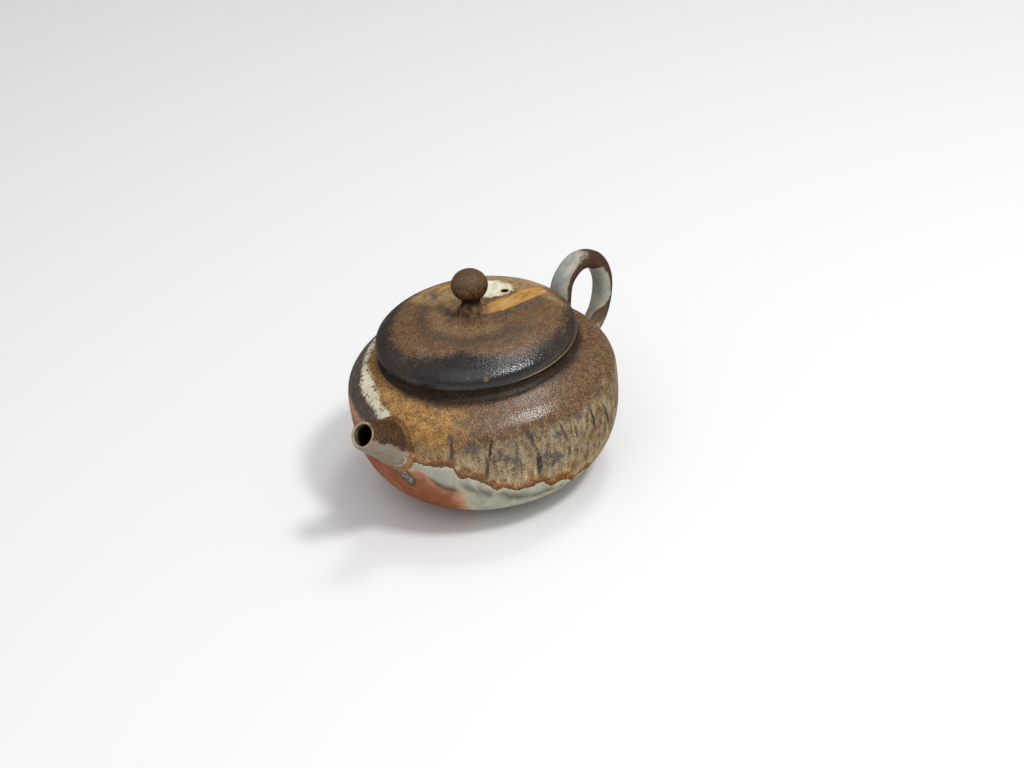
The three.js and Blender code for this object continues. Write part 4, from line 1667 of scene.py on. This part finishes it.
@dataclass
class Strainer:
    """The shallow pierced dome over the pouring hole, on the inside of the wall."""

    columns: int = 144
    middle: tuple[float, float, float] = (41.4, 0.0, 33.43)
    outer: float = 8.46
    inner: float = 7.06
    height: float = 4.8
    wall: float = 1.4
    hole_radius: float = 0.9
    field: float = 5.76
    sink: float = 0.5

    def dome(self, base: float, height: float, steps: int) -> Array:
        """(radius, reach) points of a cap of a sphere of radius (base^2 + height^2) / (2 height).

        Args:
            base: radius of the rim.
            height: height of the cap.
            steps: number of points.

        Returns:
            (steps, 2) points from near the top to the rim.
        """
        sphere = (base * base + height * height) / (2.0 * height)
        angle = np.linspace(0.04, 1.0, steps) * math.asin(base / sphere)
        drop = sphere * (1.0 - np.cos(angle))
        return np.stack([sphere * np.sin(angle), height - drop], axis=1)

    def build(self) -> Object:
        """Builds and dresses the strainer: dome, skirt to the wall, and nineteen holes."""
        angle = full_turn(self.columns)
        spokes = np.stack([0.0 * angle, np.cos(angle), np.sin(angle)], axis=1)
        middle, inward = np.array(self.middle), np.array([-1.0, 0.0, 0.0])

        def skirt(radius: float) -> Array:
            """How far each column of a skirt runs back into the wall."""

            def back(reach: Array) -> Array:
                """Places on the skirt, one for each column."""
                return middle + reach[:, None] * inward + radius * spokes

            return meeting(back, 0.5, -12.0, -self.sink, self.columns, POT.inset(WALL))

        def rows(arc: Array, reach: Array) -> Array:
            """Rows of a dome's arc, then of its skirt back to the wall."""
            dome = middle + arc[:, 1, None, None] * inward + arc[:, 0, None, None] * spokes
            share = np.linspace(0.0, 1.0, 9)[1:, None, None]
            back = middle + share * reach[None, :, None] * inward + arc[-1, 0] * spokes
            return np.concatenate([dome, back])

        outside = rows(self.dome(self.outer, self.height, 22), skirt(self.outer))
        inside = rows(self.dome(self.inner, self.height - self.wall, 16), skirt(self.inner))
        grid = np.concatenate([outside, inside[::-1]])
        made = Skin.from_grid(grid, ring=False).to_object("pierced_dome")
        rings = [(0.0, 0.0)]
        for ring in (1, 2):
            turns = np.arange(6 * ring) * (2.0 * math.pi / (6 * ring))
            reach = self.field * ring / 2.0
            rings += list(zip(reach * np.cos(turns), reach * np.sin(turns)))
        holes = np.array(rings)
        stations = ((-1.0, self.hole_radius), (2.0, self.hole_radius), (8.0, self.hole_radius))
        bases = middle + np.stack([0.0 * holes[:, 0], holes[:, 0], holes[:, 1]], axis=1)
        pierced(made, [drill_skin(base, inward, stations, 20) for base in bases])
        points = places_of(made)
        spread = np.linalg.norm(points[:, None, 1:] - bases[None, :, 1:], axis=2).min(axis=1)
        store(made, "strainer", spread - self.hole_radius, 0.0 * spread, 0.0 * spread)
        return made


@dataclass(frozen=True)
class HandleGlaze(Finish):
    """Grey celadon on the faces towards the spout, chocolate brown elsewhere, rust between."""

    name: ClassVar[str] = "handle glaze"
    surface: ClassVar[Surface] = Surface(0.28, 0.58, 0.06)

    def lay_out(self, bench: Bench) -> tuple:
        """Colour, gloss and height."""
        place = bench.place()
        pale, foot, root = bench.field("strap")
        grain = ash_grain(place)
        edge = ragged_edge(place, pale, 0.6, 0.55, 0.9)
        brown = ramp(grain["Tone"], (0, Tone.UMBER), (1, Tone.BROWN))
        dusky = clouds_of(place, 7)
        brown = mix(dusky * 0.5, brown, Tone.UMBER)
        brown = mix(foot * 0.6, brown, Tone.MOSS)
        clouds = clouds_of(place, 3)
        grey = mix(clouds * 0.3, Tone.MIST, Tone.CELADON)
        fine = span(grain["Tone"], 0.36, 0.02, 0, 0.22)
        grey = mix(fine, grey, Tone.MOSS)
        grey = mix(grain["Specks"] * 0.3, grey, Tone.BROWN)
        grey = mix(foot * 0.8, grey, mix(clouds, Tone.BROWN, Tone.OLIVE))
        colour = mix(edge["Inside"], brown, grey)
        broken = span(noise(place, 3.4, 2, 0.5), 0.4, 0.6)
        line = edge["Line"] * broken
        colour = mix(line * 0.6, colour, Tone.CREAM)
        colour = mix(span(edge["Line"], 0.8, 1, 0, 0.6), colour, Tone.AMBER)
        near = span(root, 1.2, 0.2, 0, 0.75)
        colour = mix(near, colour, mix(grain["Tone"], Tone.UMBER, Tone.BROWN))
        gloss = edge["Inside"] * 0.4 + 0.35
        peel = 1.0 - edge["Inside"] * 0.7
        return colour, gloss, grain["Height"] * peel


@dataclass
class Handle:
    """The loop handle: a rounded strap carried along a smooth line from wall to wall."""

    columns: int = 80
    rows: int = 260
    width: float = 6.82
    thickness: float = 6.3
    squareness: float = 2.5
    root_swell: float = 0.18
    swell_power: float = 4.0
    sink: float = 1.0
    run_on: float = 4.5
    fillet: float = 1.4
    top_out: float = 9.1
    top_rise: float = 18.05
    far_out: float = 21.65
    far_rise: float = 5.4
    bottom_out: float = 7.5
    bottom_drop: float = 10.55

    def knots(self) -> Array:
        """The line's roots, its top, far and bottom points, and the points between these three.

        Each point between lies at the middle of a quarter ellipse, cos 45 of the way across and up.
        """
        slant = math.sqrt(0.5)
        top, far = POT.widest + self.top_rise, POT.widest + self.far_rise
        bottom = POT.widest - self.bottom_drop
        top_out, far_out = POT.radius + self.top_out, POT.radius + self.far_out
        bottom_out = POT.radius + self.bottom_out
        root_out = POT.radius_at(HANDLE_TOP_ROOT)
        places = (
            (root_out, HANDLE_TOP_ROOT),
            (top_out - (top_out - root_out) * slant, HANDLE_TOP_ROOT + (top - HANDLE_TOP_ROOT) * slant),
            (top_out, top),
            (top_out + (far_out - top_out) * slant, far + (top - far) * slant),
            (far_out, far),
            (bottom_out + (far_out - bottom_out) * slant, far - (far - bottom) * slant),
            (bottom_out, bottom),
            (POT.radius_at(HANDLE_LOW_ROOT), HANDLE_LOW_ROOT),
        )
        return np.array([(-out, 0.0, height) for out, height in places])

    def centre_line(self) -> tuple[Array, Array]:
        """The strap's middle, as a centripetal Catmull-Rom curve through its knots.

        Between knots b and c, with a before and d after, it is a Hermite cubic with the end slopes
        ((b - a)/t0 - (c - a)/(t0 + t1) + (c - b)/t1) t1 and its mirror image, each t the square root of
        a span's length.

        Returns:
            (n, 3) evenly spaced points, and their unit tangents.
        """
        knots = self.knots()
        first = knots[0] + self.run_on * (knots[0] - knots[1]) / np.linalg.norm(knots[0] - knots[1])
        last = knots[-1] + self.run_on * (knots[-1] - knots[-2]) / np.linalg.norm(knots[-1] - knots[-2])
        line = np.concatenate([[first], knots, [last]])
        line = np.concatenate([[2 * line[0] - line[1]], line, [2 * line[-1] - line[-2]]])
        a, b, c, d = line[:-3, None], line[1:-2, None], line[2:-1, None], line[3:, None]
        gaps = np.sqrt(np.linalg.norm(np.diff(line, axis=0), axis=1))[:, None, None]
        before, across, after = gaps[:-2], gaps[1:-1], gaps[2:]
        leave = ((b - a) / before - (c - a) / (before + across) + (c - b) / across) * across
        arrive = ((c - b) / across - (d - b) / (across + after) + (d - c) / after) * across
        t = np.linspace(0.0, 1.0, 60, endpoint=False)[None, :, None]
        cubic = (2 * t**3 - 3 * t**2 + 1) * b + (t**3 - 2 * t**2 + t) * leave
        cubic += (3 * t**2 - 2 * t**3) * c + (t**3 - t**2) * arrive
        even = resampled(np.concatenate([cubic.reshape(-1, 3), line[-2:-1]]), 0.2)
        tangent = np.gradient(even, axis=0)
        return even, tangent / np.linalg.norm(tangent, axis=1, keepdims=True)

    def build(self) -> Object:
        """Builds and dresses the handle.

        A place is middle(u) + sideways w cos^(2/n) a + outwards t sin^(2/n) a, with both half widths
        swollen by 1 + swell |2u - 1|^power.
        """
        middle, tangent = self.centre_line()
        length = np.linspace(0.0, 1.0, len(middle))
        angle = full_turn(self.columns)
        power = 2.0 / self.squareness
        across = np.sign(np.cos(angle)) * np.abs(np.cos(angle)) ** power
        over = np.sign(np.sin(angle)) * np.abs(np.sin(angle)) ** power

        def frame_at(share: Array) -> tuple[Array, Array]:
            """Middle and outward direction at shares of the line."""
            centre = np.stack([np.interp(share, length, row) for row in middle.T], axis=-1)
            ahead = np.stack([np.interp(share, length, row) for row in tangent.T], axis=-1)
            return centre, np.cross(SIDEWAYS, ahead)

        def strap(share: Array, grow: Union[float, Array] = 0.0) -> Array:
            """Places on the strap, one for each column, grown by a distance."""
            centre, outward = frame_at(share)
            swell = 1.0 + self.root_swell * np.abs(2.0 * share - 1.0) ** self.swell_power
            wide = ((self.width / 2.0) * swell + grow)[..., None] * across[:, None]
            thick = ((self.thickness / 2.0) * swell + grow)[..., None] * over[:, None]
            return centre + wide * SIDEWAYS + thick * outward

        start = meeting(strap, 0.0, 0.2, self.sink, self.columns)
        end = meeting(strap, 1.0, 0.8, self.sink, self.columns)
        steps = np.linspace(0.0, 1.0, self.rows)
        steps = (steps - 0.1 * np.sin(2.0 * math.pi * steps) / (2.0 * math.pi) * 4.0)[:, None]
        share = start + (end - start) * steps
        plain = strap(share)
        drawn = drawn_out(POT.stand_off(plain), self.fillet)
        lumps = 0.05 * wander(plain.reshape(-1, 3), 7, 81).reshape(share.shape) - 0.05
        grid = strap(share, drawn + lumps)
        made = Skin.from_grid(grid, ring=False).to_object("loop_handle")
        points = places_of(made)
        count = share.size
        _, outward = frame_at(share)
        run = share.reshape(-1)
        lean = np.radians(35.0 - 60.0 * ease(share, 0.38, 0.58))
        facing = (over * (outward[..., 0] * np.cos(lean) + outward[..., 2] * np.sin(lean))).reshape(-1)
        side = (across[None] + 0.0 * share).reshape(-1)
        places = grid.reshape(-1, 3)
        height = places[:, 2]
        far = ease(run, 0.42, 0.55)
        near_bound = 0.06 + 0.34 * ease(height, 37, 50)
        far_bound = 0.14 - 0.3 * ease(height, 41, 34)
        pale = 3.1 * (facing - near_bound - (far_bound - near_bound) * far)
        pale += 0.3 * wander(places, 3.2, 82)
        spot = bell(height, 28.5, 2.6) * far * ease(side, -0.1, 0.7)
        pale -= 2.6 * spot
        foot = ease(height, 32, 25) * far
        fields = np.zeros((len(points), 3))
        fields[:count] = np.stack([pale, foot, POT.stand_off(places)], axis=1)
        fields[count:, 2] = -self.sink
        store(made, "strap", *fields.T)
        return made


@dataclass(frozen=True)
class LidGlaze(Finish):
    """The lid's firing: brown with a black rim, an ochre ray, smoky flame marks and a celadon patch, and
    painted shade round the knob's foot.
    """

    name: ClassVar[str] = "lid glaze"
    surface: ClassVar[Surface] = Surface(0.14, 0.5, 0.07, 0.5)

    def lay_out(self, bench: Bench) -> tuple:
        """Colour, gloss and height."""
        place = bench.place()
        char, ochre, patch = bench.field("lid")
        rim, vent, smoke_and_knob_shade = bench.field("marks")
        outside, buff, blush = bench.field("shade")
        haze, spots, core = bench.field("trace")
        grain = ash_grain(place, 0.7)
        tone = grain["Tone"]
        colour = self.ash_brown(bench, tone)
        rough = noise(place, 2, 3, 0.6) - 0.5
        tan = ramp(tone, (0, Tone.BROWN), (0.45, Tone.TAN), (1, Tone.BUFF))
        colour = mix(buff, colour, tan)
        colour = mix(haze * 0.5, colour, Tone.CHARCOAL)
        drawn = noise(bench.place((0.35, 1.6, 1.0)), 2.2, 3.0, 0.6) - 0.5
        shaken = drawn * 1.9 + ochre
        deep = (tone - 0.5) * 0.4 + shaken
        deep = deep * 0.6
        gold = ramp(deep, (0.14, Tone.BROWN), (0.5, Tone.OCHRE), (1, Tone.GOLD))
        colour = mix(span(shaken, 0.1, 0.8), colour, gold)
        colour = mix(core * 0.5, colour, Tone.BUFF)
        colour = mix(blush, colour, Tone.SALMON)
        # Flame marks darken the brown; round the knob's foot the same dark is painted shade under the
        # ball.
        dusk = mix(tone, Tone.UMBER, Tone.PLUM)
        shaken = rough + smoke_and_knob_shade
        colour = mix(span(shaken, 0.08, 0.85, 0, 0.8), colour, dusk)
        black = ramp(tone, (0.4, Tone.SOOT), (1, Tone.CHARCOAL))
        burnt = char - (tone - 0.5) * 0.7
        thin = 1.0 - bench.field("pall")[0] * 0.14
        colour = mix(span(burnt, 0.05, 0.85) * thin, colour, black)
        colour = mix(span(spots, -0.1, 0.4, 0, 0.4), colour, Tone.TAN)
        edge = ragged_edge(place, patch, 1.3, 0.35, 1.2)
        milk = mix(span(noise(place, 2.6), 0.3, 0.7), Tone.CELADON, Tone.MILK)
        milk = mix(edge["Line"] * 0.6, milk, Tone.TAN)
        colour = mix(edge["Inside"], colour, milk)
        hole, chance = cells(place, 2)
        hole = span(hole, 0.4, 0.25) * span(axis(chance, "X"), 0.45, 0.5)
        near = span(patch, -3.2, -0.8) * span(patch, 1, 0.2)
        colour = mix(hole * near, colour, Tone.BROWN)
        lining = mix(noise(place, 6), Tone.CELADON, Tone.PORCELAIN)
        colour = mix(outside, lining, colour)
        colour = mix(span(vent, 0.7, 0.25, 0, 0.7), colour, Tone.AMBER)
        colour = mix(span(vent, 0.25, 0.05), colour, Tone.UMBER)
        colour = mix(span(rim, 0.5, 0.2, 0, 0.75), colour, Tone.BUFF)
        gloss = char * 0.4 + 0.45
        gloss = edge["Inside"] * 0.4 + gloss
        gloss = (1.0 - outside) * 0.5 + gloss
        rings = turned(bench.place((1.0, 1.0, 3.0)), 2.9)
        peel = 1.0 - edge["Inside"] * 0.7
        height = rings * 0.06 + grain["Height"] * peel
        return colour, gloss, height


@dataclass
class Lid:
    """The domed lid plate, hollow underneath, with a vent hole behind the knob."""

    columns: int = 380
    spacing: float = 0.55
    radius: float = 32.45
    edge: float = 0.8
    edge_round: float = 0.4
    rise: float = 8.4
    fullness: float = 2.38
    hollow_radius: float = 25.7
    hollow_height: float = 6.4
    vent_reach: float = 16.0
    vent_radius: float = 1.1
    band_sides: Knots = (
        (-180, 33.5), (-150, 32.5), (-120, 30.5), (-90, 28.5), (150, 32.5), (165, 33.5),
    )
    band_pixels: Knots = (
        (394, 315), (390, 327), (391, 343), (399, 353), (414.5, 360.5), (436.5, 359.5), (459, 356),
        (481, 358.5), (525.5, 357), (543.5, 345), (559, 334), (568, 323), (569, 311.5),
    )
    band_shift: float = 0.9  # How far outside the line through band_pixels the band's edge lies
    smoke_pixels: Knots = (
        (431, 291), (437, 302), (447, 309), (453, 315), (467, 317), (481, 317), (498, 315),
        (512, 310.5), (529, 304.5), (541, 298),
    )
    spot_pixels: Sequence[tuple[float, float, float]] = (
        (468, 378.5, 0.5), (486, 379.5, 0.95), (442, 382, 0.4), (462, 374, 0.3),
        (412, 360.5, 0.35), (530, 368.5, 0.4),
    )

    def height_at(self, radius: Array) -> Array:
        """Height of the dome: edge + rise (1 - (r/R)^n)^(1/n)."""
        return RIM + self.edge + self.rise * superellipse(radius / self.radius, self.fullness)

    def gap(self, points: Array) -> Array:
        """Height of (..., 3) points over the dome, and 1 beside the lid."""
        radius = radius_of(points)
        over = points[..., 2] - self.height_at(np.minimum(radius, self.radius))
        return np.where(radius < self.radius, over, 1.0)

    def profile(self) -> Array:
        """(radius, height) points over the dome, round its edge and up the hollow."""
        dome = quarter_arc(self.radius, self.rise, self.fullness, 500)[::-1]
        dome[:, 1] += RIM + self.edge
        dome = resampled(dome[dome[:, 0] > 0.8], self.spacing)
        corner = (self.radius - self.edge_round, RIM + self.edge_round)
        round_edge = round_arc(corner, self.edge_round, 0, -90)
        under = resampled(np.array([[self.radius - 0.8, RIM], [self.hollow_radius + 0.2, RIM]]), 0.9)
        hollow = quarter_arc(self.hollow_radius, self.hollow_height, self.fullness, 300)
        hollow[:, 1] += RIM
        hollow = resampled(hollow[hollow[:, 0] > 0.8], 1.0)
        return np.concatenate([dome, round_edge, under, hollow])

    def dress(self, made: Object, outside: Array) -> None:
        """Stores the lid's fields.

        The ochre ray runs back from the knob along the parabola 3 + 0.27 u - 0.0025 u^2, 4 mm each way.

        Args:
            made: the lid's object.
            outside: 1 for vertices on the dome, 0 underneath.
        """
        points = places_of(made)
        x, y = points[:, 0], points[:, 1]
        radius = np.hypot(x, y)
        azimuth = np.degrees(np.arctan2(y, x))
        slow = wander(points, 7, 101)
        fine = wander(points, 2.2, 102)
        seen = SIGHT.behind(self.band_pixels, self.gap)
        seen = np.stack([azimuth_of(seen), radius_of(seen) + self.band_shift], axis=1)
        inner = ring_line(azimuth, np.concatenate([np.array(self.band_sides), seen]))
        char = ease(radius + 0.8 * slow + 0.4 * fine, inner - 5.5, inner + 1.8)
        middle = 3.0 - 0.27 * x - 0.0025 * x * x
        half = 4.0 * ease(x, 5, -7) - 0.03 * np.clip(-x - 10.0, 0.0, None)
        aside = np.abs(y - middle + 0.4 * slow)
        ray = ease(aside, half + 0.7, half - 1.1) * ease(x, 2.2, 0.6) * ease(radius, 29.5, 26.5)
        flame = line_distance(points[:, :2], SIGHT.behind(self.smoke_pixels, self.gap)[:, :2])
        around = np.hypot((x + 10.0) / 1.5, y + 19.6)
        ochre = np.clip(np.maximum(ray, 0.9 * bell(around, 0, 3)), 0.0, 1.0)
        core = bell(x, -9.5, 3.4) * bell(y, 5.6, 1.1)
        inside = ease(y - 0.4 * x, -4, -7) * ease(x, 4.5, 0.5) * ease(x, -16, -9)
        buff = np.maximum(0.85 * inside, 0.9 * ease(x, -15.5, -19) * ease(y, 9, 4))
        streak = bell(x, -22.4, 1.7) * ease(y, 7.5, 10) * ease(y, 23, 17)
        buff = np.maximum(buff, 0.85 * streak)
        ring = 0.35 * bell(radius, 12, 3) * ease(np.abs(azimuth - 5), 90, 60)
        buff = np.maximum(buff, ring)
        oval = np.hypot((x + 15.0) / 6.4, (y + 5.0) / 7.2)
        patch = 6.2 * (1.0 - oval) + 0.6 * fine
        vent = np.hypot(x + self.vent_reach, y) - self.vent_radius
        haze = bell(radius - 1.5 * slow, 17, 3.2) * ease(np.abs(azimuth - 12), 105, 70)
        smoke_and_knob_shade = bell(flame, 0, 1.2 + 0.03 * radius) * ease(radius, 25.5, 22.5)
        smoke_and_knob_shade *= 0.6 + 0.25 * ease(x, 5, -2) * ease(y, 0, 4) + 0.25 * fine
        # Painted shade on the lid round the knob's foot, under the ball.
        smoke_and_knob_shade = np.maximum(smoke_and_knob_shade, 0.55 * ease(radius, 6.4, 4.6))
        blush = 0.7 * bell(x, -28.6, 1.8) * bell(y, 2.6, 4)
        within = ease(radius, self.radius - 0.2, self.radius - 0.8)
        rim = np.abs(points[:, 2] - (RIM + 0.28)) + 0.8 * within
        rim += 0.35 * ease(np.abs(apart(azimuth, 112.0)), 35.0, 62.0) + 0.16 * np.abs(fine)
        spots = np.array(self.spot_pixels)
        middles = SIGHT.behind(spots[:, :2], self.gap)
        spot = (spots[:, 2] - np.linalg.norm(points[:, None] - middles, axis=2)).max(axis=1)
        store(made, "pall", ease(np.abs(apart(azimuth + 8.0 * slow, 42.0)), 25.0, 60.0))
        store(made, "trace", haze, np.clip(spot, -2.0, 1.0), core)
        store(made, "lid", char, ochre, np.clip(patch, -8.0, 8.0))
        store(made, "marks", rim, vent, smoke_and_knob_shade)
        store(made, "shade", outside, np.clip(buff, 0.0, 1.0), blush)

    def build(self) -> Object:
        """Builds and dresses the lid plate."""
        made = Skin.turned(self.profile(), self.columns, ring=False).to_object("lid_plate")
        vent = np.array([-self.vent_reach, 0.0, RIM])
        surface = float(self.height_at(np.array(self.vent_reach))) - RIM
        wide = self.vent_radius
        stations = (
            (-2.0, wide), (surface - 0.5, wide), (surface - 0.15, wide + 0.07),
            (surface + 0.2, wide + 0.3), (surface + 2.0, wide + 1.2),
        )
        pierced(made, [drill_skin(vent, np.array([0.0, 0.0, 1.0]), stations)])
        points = places_of(made)
        radius = radius_of(points)
        gap = points[:, 2] - self.height_at(np.minimum(radius, self.radius))
        outside = np.maximum(ease(gap, -0.9, -0.3), ease(radius, self.radius - 0.6, self.radius - 0.3))
        hand = 0.06 * wander(points, 17, 111) + 0.02 * np.sin(radius * 1.9 + wander(points, 9, 112))
        top = ease(gap, -0.6, -0.1) * ease(radius, self.radius, self.radius - 1.5)
        points[:, 2] -= (0.08 + hand).clip(0.0, 0.3) * top
        move_to(made, points)
        self.dress(made, outside)
        return made


@dataclass(frozen=True)
class KnobGlaze(Finish):
    """Dry speckled brown on the knob, with a painted soft sheen on top, and painted shade under the ball
    and down the stem.
    """

    name: ClassVar[str] = "knob glaze"
    surface: ClassVar[Surface] = Surface(0.32, 0.7, 0.07)

    def lay_out(self, bench: Bench) -> tuple:
        """Colour, gloss and height."""
        place = bench.place()
        low, gold, stem = bench.field("knob")
        grain = ash_grain(place, 0.8)
        tone = grain["Tone"]
        brown = ramp(tone, (0, Tone.SOOT), (0.3, Tone.UMBER), (0.62, Tone.BROWN), (1, Tone.FAWN))
        # Painted soft sheen: the ball's top is greyer and has less contrast.
        top_sheen = bench.field("crown")[0] * 0.6
        colour = mix(top_sheen, brown, mix(tone, Tone.BROWN, Tone.MOSS))
        amber = ramp(tone, (0, Tone.SOOT), (0.55, Tone.RUST), (1, Tone.OCHRE))
        colour = mix(gold * 0.6, colour, amber)
        # Painted shade under the ball and down the stem.
        dark = mix(tone, Tone.SOOT, Tone.UMBER)
        colour = mix(low, colour, dark)
        smoky = mix(span(noise(place, 2.4), 0.3, 0.7), Tone.UMBER, Tone.FAWN)
        colour = mix(stem * 0.85, colour, smoky)
        gloss = stem * 0.7 + 0.2
        return colour, gloss, grain["Height"]


@dataclass
class Knob:
    """The ball knob on its short waisted stem, drawn out where it meets the lid."""

    columns: int = 120
    seat: float = 59.68
    top: float = 74.51
    ball_radius: float = 5.95
    ball_rise: float = 5.2
    waist_radius: float = 3.0
    foot_radius: float = 4.2
    lean: float = 0.9
    lean_azimuth: float = -47.0

    def profile(self) -> Array:
        """(radius, height) points from inside the lid up the stem and over the flattened ball."""
        start = math.degrees(-math.acos(self.waist_radius / self.ball_radius))
        angle = np.radians(np.linspace(start + 6.0, 88.5, 60))
        rise = self.top - self.ball_rise + self.ball_rise * np.sin(angle)
        ball = np.stack([self.ball_radius * np.cos(angle), rise], axis=1)
        foot, waist, seat = self.foot_radius, self.waist_radius, self.seat
        stem = np.array([
            [0.8, seat - 1.1], [foot - 0.6, seat - 1.1], [foot, seat - 0.35], [foot - 0.1, seat + 0.2],
            [foot - 0.3, seat + 0.7], [foot - 0.45, seat + 1.4], [waist + 0.3, seat + 2.4],
            [waist + 0.03, seat + 3.4], [waist, seat + 4.4], [waist + 0.2, seat + 5.1],
        ])
        return resampled(np.concatenate([stem, ball]), 0.25)

    def build(self) -> Object:
        """Builds and dresses the knob, its foot set a little to one side of the ball."""
        made = Skin.turned(self.profile(), self.columns, ring=False).to_object("ball_knob")
        points = places_of(made)
        centre = np.array([0.0, 0.0, self.top - self.ball_rise])
        free = ease(points[:, 2], self.seat + 0.3, self.seat + 2)
        shrink = (0.06 + 0.06 * wander(points, 5, 121)).clip(0.005, 0.2) * free
        away = points - centre
        points -= away / np.linalg.norm(away, axis=1, keepdims=True) * shrink[:, None]
        turn = math.radians(self.lean_azimuth)
        lean = self.lean * ease(points[:, 2], self.seat + 5, self.seat + 0.5)
        points += lean[:, None] * np.array([math.cos(turn), math.sin(turn), 0.0])
        move_to(made, points)
        away = points - centre
        fine = wander(points, 1.8, 122)
        # Painted shade on the ball's underside and down the stem.
        low = ease(away[:, 2] + 0.6 * fine, -1.2, -3.4)
        toward = away @ np.array([0.73, 0.68, -0.1]) / self.ball_radius
        gold = ease(toward, 0.3, 0.9) * ease(np.abs(away[:, 2] + 1), 2.6, 0.8)
        stem = ease(points[:, 2], self.seat + 4.6, self.seat + 3.2)
        store(made, "knob", low, gold, stem)
        # Painted soft sheen on the ball's top.
        store(made, "crown", ease(away[:, 2] + 0.5 * fine, 0.2, 3))
        return made


# The whole pot, and the room it stands in


@dataclass(frozen=True)
class Seat:
    """A piece, its finish, and where it belongs: CAD node, body and slot."""

    piece: object
    finish: Finish
    node: str
    body: str
    slot: str


class Teapot:
    """All nine pieces, in the order in which they are made."""

    def __init__(self) -> None:
        """Lists the pieces with their places."""
        self.seats = (
            Seat(Foot(), BareClay(Tone.SALMON, Tone.CLAY, 15.0), "foot_disc", "pot", "foot_clay"),
            Seat(Body(), BodyGlaze(), "body_shell", "pot", "body_glaze"),
            Seat(Collar(), CollarGlaze(), "neck_collar", "pot", "collar_glaze"),
            Seat(Spout(), SpoutGlaze(), "spout", "pot", "spout_glaze"),
            Seat(Strainer(), StrainerGlaze(), "spout_strainer", "pot", "strainer_clay"),
            Seat(Handle(), HandleGlaze(), "handle", "pot", "handle_glaze"),
            Seat(Lid(), LidGlaze(), "lid_dome", "lid", "lid_glaze"),
            Seat(
                Flange(), BareClay(Tone.PORCELAIN, Tone.SALMON, 12.0, 0.5),
                "lid_flange", "lid", "flange_clay",
            ),
            Seat(Knob(), KnobGlaze(), "lid_knob", "lid", "knob_glaze"),
        )

    def build(self) -> None:
        """Builds every piece and hands it to the frame."""
        for seat in self.seats:
            made = seat.piece.build()
            made.data.materials.append(seat.finish.material())
            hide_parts(seat.node)
            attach(made, seat.body)
            count = len(made.data.polygons)
            log.info("%s stands for %s, %d faces", made.name, seat.node, count)


@dataclass(frozen=True)
class Lamp:
    """A soft square light that looks at the pot; its place is in degrees and metres."""

    name: str
    azimuth: float
    elevation: float
    distance: float
    size: float
    power: float

    def hang(self) -> None:
        """Hangs the light in the scene: way * distance above the pot's middle, its back outwards."""
        data = bpy.data.lights.new(self.name, "AREA")
        data.shape = "SQUARE"
        data.size = self.size
        data.energy = self.power
        lamp = add_object(self.name, data)
        turn, lift = math.radians(self.azimuth), math.radians(self.elevation)
        way = Vector((math.cos(turn) * math.cos(lift), math.sin(turn) * math.cos(lift), math.sin(lift)))
        lamp.location = way * self.distance + Vector((0.0, 0.0, LAMP_AIM))
        lamp.rotation_euler = way.to_track_quat("Z", "Y").to_euler()


@dataclass(frozen=True)
class Studio:
    """The floor, the soft lights and the camera. Lengths here are in metres."""

    floor_half: float = 12.0
    lamps: tuple[Lamp, ...] = (
        Lamp("key", azimuth=98.0, elevation=57.6, distance=1.1, size=0.17, power=5.8),
        Lamp("fill", azimuth=43.0, elevation=65.0, distance=0.9, size=0.9, power=2.5),
        Lamp("glint", azimuth=172.0, elevation=69.0, distance=1.1, size=0.25, power=2.2),
    )
    sky: float = 0.44
    floor_glow: float = 0.02

    def floor_material(self) -> Material:
        """Matt white paper that also glows a little in the camera's own rays."""
        material, bench, shader = new_material("paper floor")
        path = bench.node("ShaderNodeLightPath")
        seen = bench.calc("MAXIMUM", path["Is Camera Ray"], path["Is Glossy Ray"])
        seen = bench.calc("MAXIMUM", seen, path["Is Transmission Ray"])
        feeds = {
            "Base Color": Tone.PAPER,
            "Roughness": 0.9,
            "Specular IOR Level": 0.0,
            "Emission Color": mix(seen, (0, 0, 0, 1), (1, 1, 1, 1)),
            "Emission Strength": self.floor_glow,
        }
        bench.fill(shader, feeds)
        return material

    def build_floor(self) -> None:
        """The floor: one large flat sheet at table height."""
        half = self.floor_half
        mesh = bpy.data.meshes.new("floor")
        corners = [(-half, -half, 0.0), (half, -half, 0.0), (half, half, 0.0), (-half, half, 0.0)]
        mesh.from_pydata(corners, [], [(0, 1, 2, 3)])
        mesh.materials.append(self.floor_material())
        add_object("floor", mesh)

    def build_world(self) -> None:
        """A dim pale room."""
        world = bpy.data.worlds.new("studio")
        bpy.context.scene.world = world
        world.use_nodes = True
        back = world.node_tree.nodes["Background"]
        back.inputs["Color"].default_value = (0.985, 0.985, 1.0, 1.0)
        back.inputs["Strength"].default_value = self.sky

    def build_camera(self) -> None:
        """The camera, where the photograph's stood."""
        data = bpy.data.cameras.new("camera")
        data.lens = SIGHT.lens
        data.sensor_width = SIGHT.sensor
        data.sensor_fit = "HORIZONTAL"
        data.clip_start = 0.01
        camera = add_object("camera", data)
        turned = np.eye(4)
        turned[:3, :3] = SIGHT.axes().T
        turned[:3, 3] = np.array(SIGHT.place) * MM
        camera.matrix_world = Matrix(turned.tolist())
        bpy.context.scene.camera = camera

    def build(self) -> None:
        """Sets up floor, lights, world, camera and plain view settings."""
        self.build_floor()
        for lamp in self.lamps:
            lamp.hang()
        self.build_world()
        self.build_camera()
        bpy.context.scene.view_settings.view_transform = "Standard"
        log.info("studio is set")


def main() -> None:
    """Builds the teapot and its studio."""
    logging.basicConfig(level=logging.INFO, format="%(name)s: %(message)s")
    Teapot().build()
    Studio().build()


if __name__ == "__main__":
    main()
